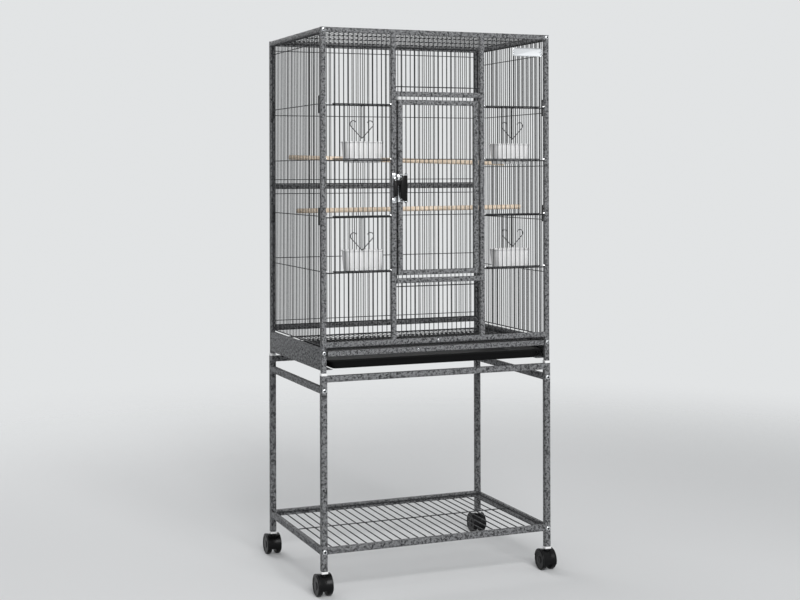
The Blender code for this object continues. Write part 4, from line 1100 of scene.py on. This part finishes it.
for level, word, _ in FEEDERS:
    place = f"{level}_{word}"
    low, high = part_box("seed_cup_" + place)
    low.y = FRONT_Y + EDGE_HALF + GAP
    moulded_tub("seed_cup_tub_" + place, low, high, draft=(0.93, 0.92), corner=0.011, foot=0.004,
                lip=CUP_LIP, hem=0.0016, wall=0.0020, finish=POLYPROPYLENE, solid="seed_cup_" + place)
    z = FEEDER_LOW[level]
    bm = bmesh.new()
    for offset in (-HOOK_OFFSET, HOOK_OFFSET):
        x = (low.x + high.x) / 2 + offset
        add_block(bm, (x - HOOK_BROAD / 2, FRONT_Y - WIRE / 2, z + GAP),
                  (x + HOOK_BROAD / 2, low.y + 2 * CUP_LIP + GAP, z + HOOK_TALL), rounding=0.0008)
    finish_piece("seed_cup_hooks_" + place, bm, POLYPROPYLENE, slot="white_plastic")

# %% [markdown]
# ## Feeder gates
#
# A gate is ten wires between two thicker bars, in front of the opening. The
# bars' ends are bent into eyes round the guide wires, so the gate can only
# slide up.

# %% Weld the gates and bend their eyes
for level, word, side in FEEDERS:
    gate = f"feeder_gate_{level}_{word}"
    low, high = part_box(gate)
    wall = on_wall(0, 2, low.y + EDGE_HALF)
    bars = (low.z + EDGE_HALF, high.z - EDGE_HALF)
    row = bay_row(side, BAY_WIRES)
    bm = bmesh.new()
    add_mat(bm, wall, row, bars)
    for z in bars:
        add_edge(bm, wall, low.x, high.x, z, row)
        for x in bay_row(side, GUIDES[:2]):
            add_ring(bm, (x, FRONT_Y, z), (0, 0, 1), radius=0.0035, thick=0.0026, steps=16)
    finish_piece(f"gate_mat_{level}_{word}", bm, WIRE_COAT, (gate,))

# %% [markdown]
# ## Cup clips
#
# An anchor of wire hangs from the upper edge wire of each opening and
# presses on the cup's rim. An eye turns on the edge wire, a stem hangs from
# it, and two arms rise from the stem's foot and curl over at their ends.

# %% Bend the cup clips
CLIP_EYE, CLIP_WIRE, CLIP_BASE = 0.0033, 0.0020, 0.0522
CURL = arc(0.0082, -38, 155, 14, (0.0215, 0.0335))
ARMS = [(-u, v) for u, v in reversed(CURL)] + [(-0.0012, 0.0004), (0.0012, 0.0004)] + CURL

for level, word, _ in FEEDERS:
    clip = f"cup_clip_{level}_{word}"
    x, pivot, base = middle(clip, 0), bay_edges(level)[1], FEEDER_LOW[level] + CLIP_BASE
    bm = bmesh.new()
    add_ring(bm, (x, FRONT_Y, pivot), (1, 0, 0), CLIP_EYE, thick=0.0016)
    add_bent_wire(bm, [(x, FRONT_Y, pivot - CLIP_EYE), (x, FRONT_Y, base)], CLIP_WIRE, sides=10)
    add_bent_wire(bm, [(x + u, FRONT_Y, base + v) for u, v in ARMS], CLIP_WIRE, sides=10)
    add_nugget(bm, (x, FRONT_Y, base), size=0.0032)
    finish_piece(f"clip_{level}_{word}", bm, WIRE_COAT, (clip,))

# %% [markdown]
# ## The door
#
# The door is a frame of tube with its own mat. Two short pins at its right
# edge stand in holes in the header and the sill.

# %% Weld the door
low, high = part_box("door")
DOOR_GAPS = (0.0075, 0.0080)
DOOR_LOW, DOOR_HIGH = SILL_Z + HALF_POST + DOOR_GAPS[0], HEADER_Z - HALF_POST - DOOR_GAPS[1]
DOOR_SPACERS = (0.901, 1.0365)
HINGE_X, PIN_LAP = 0.0875, 0.004
inner = high.x - POST + POST_SINK

bm = bmesh.new()
add_ladder(bm, high.x - HALF_POST, inner, FRONT_Y, POST, (DOOR_LOW, DOOR_HIGH),
           ((DOOR_LOW + HALF_POST, OVER), (DOOR_HIGH - HALF_POST, UNDER)))
finish_piece("door_tubes", bm, TUBE_COAT, ("door",))
bm = bmesh.new()
add_mat(bm, FRONT_WALL, pitch_row(7), (DOOR_LOW + POST - POST_SINK, DOOR_HIGH - POST + POST_SINK),
        DOOR_SPACERS, inner)
finish_piece("door_mat", bm, WIRE_COAT, body="door", slot="wire_coat")
bm = bmesh.new()
for start, end in ((DOOR_HIGH - PIN_LAP, high.z), (DOOR_LOW + PIN_LAP, low.z)):
    add_wire(bm, (HINGE_X, FRONT_Y, start), (HINGE_X, FRONT_Y, end), thick=0.004, sides=16)
finish_piece("door_pins", bm, CHROME, body="door", slot="chrome")

# %% [markdown]
# ## The latch's steel parts
#
# The latch is bought in. A strap on the door post is the keeper; a channel
# with two ears on the door's own upright holds the pin, and a bowed strip
# springs the lever shut. All of it is stamped strip, plated bright, so each
# part is its side outline extruded along its width. The eased edges are what
# sparkles, so every edge gets a small bevel.

# %% A helper for the screws
DOME = ((0.0, 1.0), (0.35, 1.0), (0.80, 0.84), (1.0, 0.62))
SOCKET_WIDE, SOCKET_DEEP = 0.5, 0.75


def add_screw(bm, place, out, radius, height):
    """A domed head with a hexagonal socket, seated at a place and facing out."""
    place, out = Vector(place), Vector(out)
    count = len(bm.verts)
    add_turned(bm, [(0.0, 0.0)] + [(a * height, r * radius) for a, r in DOME], place, out, steps=18)
    hexagon = bmesh.ops.create_circle(bm, cap_ends=True, segments=6, radius=SOCKET_WIDE * radius,
                                      matrix=facing(place + out * height, out))["verts"]
    _, verts = extrude_face(bm, hexagon[0].link_faces[0])
    bmesh.ops.translate(bm, verts=verts, vec=out * -SOCKET_DEEP * height)
    bmesh.ops.delete(bm, geom=[f for f in hexagon[0].link_faces if len(f.verts) == 6],
                     context="FACES_ONLY")
    rims = {e for vert in new_verts(bm, count) for e in vert.link_edges if e.is_boundary}
    bmesh.ops.bridge_loops(bm, edges=list(rims))


# %% Stamp the keeper
WALL_Y, LATCH_Z = FRONT_Y - HALF_POST - GAP, middle("latch_keeper")
STRAP, FOOT_SHARE = 0.0016, 0.8
KEEPER_X, KEEPER_FOOT_X = (-0.1190, -0.1132), (-0.1235, -0.1128)
KEEPER_FOOT_Z, KEEPER_BEND_Z, KEEPER_STAND, KEEPER_SLOPE = 0.0355, 0.0225, 0.0065, 0.003
FORWARD = (0, -1, 0)

raised = WALL_Y - KEEPER_STAND
back = [(WALL_Y, KEEPER_FOOT_Z), (WALL_Y, KEEPER_BEND_Z), (raised, KEEPER_BEND_Z - KEEPER_SLOPE)]
front = [(raised - STRAP, KEEPER_BEND_Z - KEEPER_SLOPE + STRAP / 2),
         (WALL_Y - STRAP, KEEPER_BEND_Z + STRAP / 2), (WALL_Y - STRAP, KEEPER_FOOT_Z)]
outline = back + [(y, -z) for y, z in reversed(back)] + [(y, -z) for y, z in reversed(front)] + front
bm = bmesh.new()
add_extrusion(bm, [(y, LATCH_Z + z) for y, z in outline], 0, *KEEPER_X, rounding=0.0005)
for side in BOTH:
    z0, z1 = sorted(LATCH_Z + side * z for z in (KEEPER_BEND_Z + STRAP, KEEPER_FOOT_Z + STRAP / 4))
    add_block(bm, (KEEPER_FOOT_X[0], WALL_Y - FOOT_SHARE * STRAP, z0), (KEEPER_FOOT_X[1], WALL_Y, z1),
              rounding=0.0006)
    add_screw(bm, (sum(KEEPER_FOOT_X) / 2, WALL_Y - STRAP, (z0 + z1) / 2), FORWARD,
              radius=0.0030, height=0.0014)
finish_piece("latch_keeper_strap", bm, CHROME, ("latch_keeper",), sharp=32)

# %% Stamp the channel and bend the spring
CHANNEL_X, CHANNEL_HALF, CHANNEL_SHEET = (-0.1095, -0.0955), 0.0335, 0.0015
EAR, EAR_IN, EAR_LAP, EAR_LOW, NOSE_RUN = 0.0020, 0.0030, 0.0005, 0.004, 0.005
PIN_X, PIN_Y, PIN_RADIUS, PIN_PROUD, NOSE_WALL = -0.0915, -0.2205, 0.0018, 0.0018, 0.0032
SPRING_X, SPRING_HALF, SPRING_BOW, SPRING_SHEET = (-0.1094, -0.1037), 0.0285, 0.0044, 0.0008
RIVET_X, RIVET_Z = -0.0990, 0.0265

low_z, high_z = LATCH_Z - CHANNEL_HALF, LATCH_Z + CHANNEL_HALF
left, right = CHANNEL_X
plate_y = WALL_Y - CHANNEL_SHEET
bm = bmesh.new()
add_block(bm, (left, plate_y, low_z), (right, WALL_Y, high_z), rounding=0.0005)
ear = [(left + EAR_IN, WALL_Y - EAR_LAP), (right - EAR_LAP, WALL_Y - EAR_LAP), (PIN_X + NOSE_RUN, PIN_Y),
       *arc(PIN_RADIUS + NOSE_WALL, -20, -140, 10, (PIN_X, PIN_Y)), (left + EAR_IN, WALL_Y - EAR_LOW)]
for z in (low_z, high_z - EAR):
    add_extrusion(bm, ear, 2, z, z + EAR, rounding=0.0004, segments=1)
add_wire(bm, (PIN_X, PIN_Y, low_z - PIN_PROUD), (PIN_X, PIN_Y, high_z + PIN_PROUD), 2 * PIN_RADIUS,
         sides=16)
bow = [(plate_y - SPRING_BOW * math.cos(math.pi * n / 20), LATCH_Z + SPRING_HALF * n / 10)
       for n in range(-10, 11)]
strip = bow + [(y + SPRING_SHEET, z) for y, z in reversed(bow)]
add_extrusion(bm, strip, 0, *SPRING_X, rounding=0.0002, segments=1)
for side in BOTH:
    add_screw(bm, (RIVET_X, plate_y, LATCH_Z + side * RIVET_Z), FORWARD, radius=0.0021, height=0.0009)
finish_piece("latch_channel", bm, CHROME, ("latch_case",), sharp=32)

# %% [markdown]
# ## The latch's lever
#
# The lever is one moulding in black nylon: a barrel round the pin, an oval
# paddle for the thumb, an arm and a claw that hooks round the keeper's
# bridge. The paddle's face is crowned: the oval is extruded a few times, each
# time smaller and raised a little less, and the dome that this makes draws
# the light into one slim line.

# %% Mould the lever
CLAW_HALF, CLAW_LIP, CLAW_ROOM = 0.0200, 0.0016, 0.0006
CLAW_FRONT, CLAW_INSIDE, CLAW_BACK, CLAW_BEVEL = 0.0038, 0.0006, 0.0050, 0.0015
ARM_Z, ARM_THICK, ARM_LAPS = (0.0070, 0.0200), 0.0035, (0.001, 0.002)
BARREL_RADIUS, BARREL_EASE = 0.0042, 0.0006
CAP_RADIUS, CAP_HIGH = 0.0030, 0.0021

bm = bmesh.new()
barrel_low, barrel_high = low_z + EAR + GAP, high_z - EAR - GAP
long = barrel_high - barrel_low
barrel = [(0.0, 0.0), (0.0, BARREL_RADIUS - BARREL_EASE), (BARREL_EASE, BARREL_RADIUS),
          (long - BARREL_EASE, BARREL_RADIUS), (long, BARREL_RADIUS - BARREL_EASE), (long, 0.0)]
add_turned(bm, barrel, (PIN_X, PIN_Y, barrel_low), (0, 0, 1), steps=28)
cap = [(0.0, 0.0), (0.0, CAP_RADIUS), (0.6 * CAP_HIGH, CAP_RADIUS),
       (CAP_HIGH, 0.55 * CAP_RADIUS), (CAP_HIGH, 0.0)]
for z, way in ((high_z + GAP, 1), (low_z - GAP, -1)):
    add_turned(bm, cap, (PIN_X, PIN_Y, z), (0, 0, way), steps=20)
add_block(bm, (KEEPER_X[1] - ARM_LAPS[0], PIN_Y - ARM_THICK, LATCH_Z + ARM_Z[0]),
          (PIN_X - ARM_LAPS[1], PIN_Y, LATCH_Z + ARM_Z[1]), rounding=0.0008)
lip = KEEPER_X[0] - CLAW_ROOM
claw = [(lip - CLAW_LIP, PIN_Y - CLAW_BEVEL), (lip - CLAW_LIP / 2, PIN_Y - CLAW_FRONT),
        (KEEPER_X[1], PIN_Y - CLAW_FRONT), (KEEPER_X[1], PIN_Y - CLAW_INSIDE),
        (lip, PIN_Y - CLAW_INSIDE), (lip, PIN_Y + CLAW_BACK), (lip - CLAW_LIP, PIN_Y + CLAW_BACK)]
add_extrusion(bm, claw, 2, LATCH_Z - CLAW_HALF, LATCH_Z + CLAW_HALF, rounding=0.0005)
finish_piece("latch_lever_body", bm, BLACK_NYLON, ("latch_lever",), sharp=32)

# %% Mould the lever's paddle
PADDLE_X, PADDLE_WIDE, PADDLE_HIGH, PADDLE_THICK = -0.0975, 0.0092, 0.0305, 0.0042
PADDLE_BACK, OVAL_POINTS = 0.0030, 48
CROWN_STEPS, CROWN_RISE, CROWN_ANGLE = 6, 0.0026, 84.0

back_y = PIN_Y - PADDLE_BACK
rim_y = back_y - PADDLE_THICK + CROWN_RISE
bm = bmesh.new()
oval = arc(1.0, 0, 360 * (1 - 1 / OVAL_POINTS), OVAL_POINTS - 1)
face = bm.faces.new([bm.verts.new((PADDLE_X + PADDLE_WIDE * u, back_y, LATCH_Z + PADDLE_HIGH * v))
                     for u, v in oval])
face, verts = extrude_face(bm, face)
bmesh.ops.translate(bm, verts=verts, vec=(0, rim_y - back_y, 0))
spread = 1.0
for step in range(1, CROWN_STEPS + 1):
    turn = math.radians(CROWN_ANGLE * step / CROWN_STEPS)
    shrink = math.cos(turn) / spread
    face, verts = extrude_face(bm, face)
    for vert in verts:
        x, _, z = vert.co
        vert.co = (PADDLE_X + (x - PADDLE_X) * shrink, rim_y - CROWN_RISE * math.sin(turn),
                   LATCH_Z + (z - LATCH_Z) * shrink)
    spread = math.cos(turn)
finish_piece("latch_paddle", bm, BLACK_NYLON, body="latch", slot="black_plastic", sharp=60)

# %% [markdown]
# ## A painted shade in the door's gap
#
# In the photo the gap between the latch post and the door is dark from top
# to bottom, as a narrow gap falls into shade. A flat strip in the tubes' dark
# coat, set behind the post, paints that shade in. The strip itself isn't
# seen: a flat one, welded to the back of the post, is a guess. The hinge side
# has none, since the door's edge turns inwards there.

# %% Set a dark strip behind the door's gap as painted shade
SHADE_STRIP_OVERLAP, SHADE_STRIP_THICK = 0.0015, 0.0012

# The strip is painted shade: a dark sheet set where the gap only falls into shadow.
bm = bmesh.new()
post_edge, door_edge = -DOOR_POST_X + HALF_POST, extent("door", 0)[0]
shade_strip_front = FRONT_Y + HALF_POST + GAP
add_block(bm, (post_edge - SHADE_STRIP_OVERLAP, shade_strip_front, SILL_Z + HALF_POST + GAP),
          (door_edge + SHADE_STRIP_OVERLAP, shade_strip_front + SHADE_STRIP_THICK, HEADER_Z - HALF_POST - GAP),
          rounding=0.0002)
print("gap beside the door, mm:", round(1000 * (door_edge - post_edge), 2))
finish_piece("gap_shade_strip", bm, TUBE_COAT)

# %% [markdown]
# ## Perches
#
# A perch is a pine dowel cut to length, its ends eased on a sander. It lies
# on the side panels' wires, so each end is a little higher or lower than the
# other. The profile is turned about the line between its two ends.

# %% Turn the perches
PERCH_RADIUS, PERCH_REACH, PERCH_EASE = 0.006, 0.2959, 0.0014
PERCH_ENDS = {"upper": ((0.0668, 1.0435), (0.0306, 1.0280)),
              "lower": ((-0.0006, 0.9085), (-0.0653, 0.9140))}

for level, (left_end, right_end) in PERCH_ENDS.items():
    start, end = Vector((-PERCH_REACH, *left_end)), Vector((PERCH_REACH, *right_end))
    long = (end - start).length
    profile = [(0.0, 0.0), (0.0, PERCH_RADIUS - PERCH_EASE),
               (0.3 * PERCH_EASE, PERCH_RADIUS - 0.3 * PERCH_EASE), (PERCH_EASE, PERCH_RADIUS)]
    profile += [(long - a, r) for a, r in reversed(profile)]
    bm = bmesh.new()
    add_turned(bm, profile, start, end - start, steps=32)
    finish_piece("perch_dowel_" + level, bm, PINE, ("perch_" + level,), sharp=50)

# %% [markdown]
# ## Bolts, welds and a bare plate
#
# Where the thick wires meet a post, a weld bead of pale bare metal stands in
# for the bright glint there: a painted highlight. A blank aluminium plate with
# a bright border hangs in front of the upper right bay.

# %% Drive the bolts
BOLT_RADIUS, BOLT_HEIGHT, POST_BOLT_SHARE, SMALL_SCREW = 0.0058, 0.0026, 0.85, (0.0032, 0.0018)
RUNNER_BOLT_LIFT = 0.002
LEG_BOLT_Z = (middle("stand_left_bar"), middle("shelf_left_rail"))
POST_BOLT_Z = (middle("grate") + RUNNER_BOLT_LIFT, TOP_RAIL_Z)
RAIL_SCREW_X, GRATE_SCREW_X = -0.0023, -0.0553

for word, way in (("front", -1), ("back", 1)):
    out, leg_y, post_y = (0, way, 0), way * (BACK_Y + HALF_LEG), way * (BACK_Y + HALF_POST)
    bm = bmesh.new()
    for x in (-LEG_X, LEG_X):
        for z in LEG_BOLT_Z:
            add_screw(bm, (x, leg_y, z), out, BOLT_RADIUS, BOLT_HEIGHT)
        for z in POST_BOLT_Z:
            add_screw(bm, (x, post_y, z), out, POST_BOLT_SHARE * BOLT_RADIUS, BOLT_HEIGHT)
    add_screw(bm, (RAIL_SCREW_X, post_y, LOW_RAIL_Z), out, *SMALL_SCREW)
    finish_piece(word + "_bolts", bm, CHROME, slot="chrome", sharp=32)
bm = bmesh.new()
add_screw(bm, (GRATE_SCREW_X, FRONT_Y - HALF_POST, BAR_Z), FORWARD, *SMALL_SCREW)
finish_piece("grate_bar_screw", bm, CHROME, body="grate", slot="chrome", sharp=32)

# %% Set pale weld beads as painted glints on the thick wires
# Each bead of pale metal is a painted highlight, set where a glint shows at a thick wire's end.
GLINT_BEAD_SIZE, GLINT_BEAD_RISE = 0.0054, 0.0040

bm = bmesh.new()
for side in BOTH:
    for x in (BAY_ENDS[0] + GLINT_BEAD_SIZE / 4, BAY_ENDS[1] - GLINT_BEAD_SIZE / 4):
        for z in (*bay_edges("lower"), *bay_edges("upper")):
            add_nugget(bm, (side * x, FRONT_Y - WIRE / 2, z + GLINT_BEAD_RISE), GLINT_BEAD_SIZE)
finish_piece("glint_weld_beads", bm, GLINT_BEAD_METAL, slot="chrome")

# %% Hang the bare plate
PLATE_X, PLATE_Z = (0.2048, 0.2835), (1.2950, 1.3155)
PLATE_THICK, PLATE_CORNER, PLATE_RIM, PLATE_SINK, BORDER = 0.0012, 0.0016, 0.0012, 0.0003, 0.0022
PLATE_SCREW_IN = 0.004

bm = bmesh.new()
plate_back = FRONT_Y - WIRE / 2 - GAP
plate_front = plate_back - PLATE_THICK
centre_x, centre_z = sum(PLATE_X) / 2, sum(PLATE_Z) / 2
add_block(bm, (PLATE_X[0], plate_front, PLATE_Z[0]), (PLATE_X[1], plate_back, PLATE_Z[1]),
          PLATE_CORNER, axis=1, segments=4)
bmesh.ops.recalc_face_normals(bm, faces=bm.faces)
face = min(bm.faces, key=lambda f: f.calc_center_median().y)
bmesh.ops.inset_individual(bm, faces=[face], thickness=PLATE_RIM, depth=-PLATE_SINK)
for x in (PLATE_X[0] + PLATE_SCREW_IN, PLATE_X[1] - PLATE_SCREW_IN):
    add_screw(bm, (x, plate_front + PLATE_SINK, centre_z), FORWARD, radius=0.0014, height=0.0007)
finish_piece("bare_plate", bm, ALUMINIUM, slot="chrome")
bm = bmesh.new()
border = rounded_loop((PLATE_X[1] - PLATE_X[0] - PLATE_RIM) / 2, (PLATE_Z[1] - PLATE_Z[0] - PLATE_RIM) / 2,
                      PLATE_CORNER)
add_bent_wire(bm, [(centre_x + u, plate_front, centre_z + v) for u, v in border], BORDER)
finish_piece("bare_plate_border", bm, CHROME, slot="chrome")
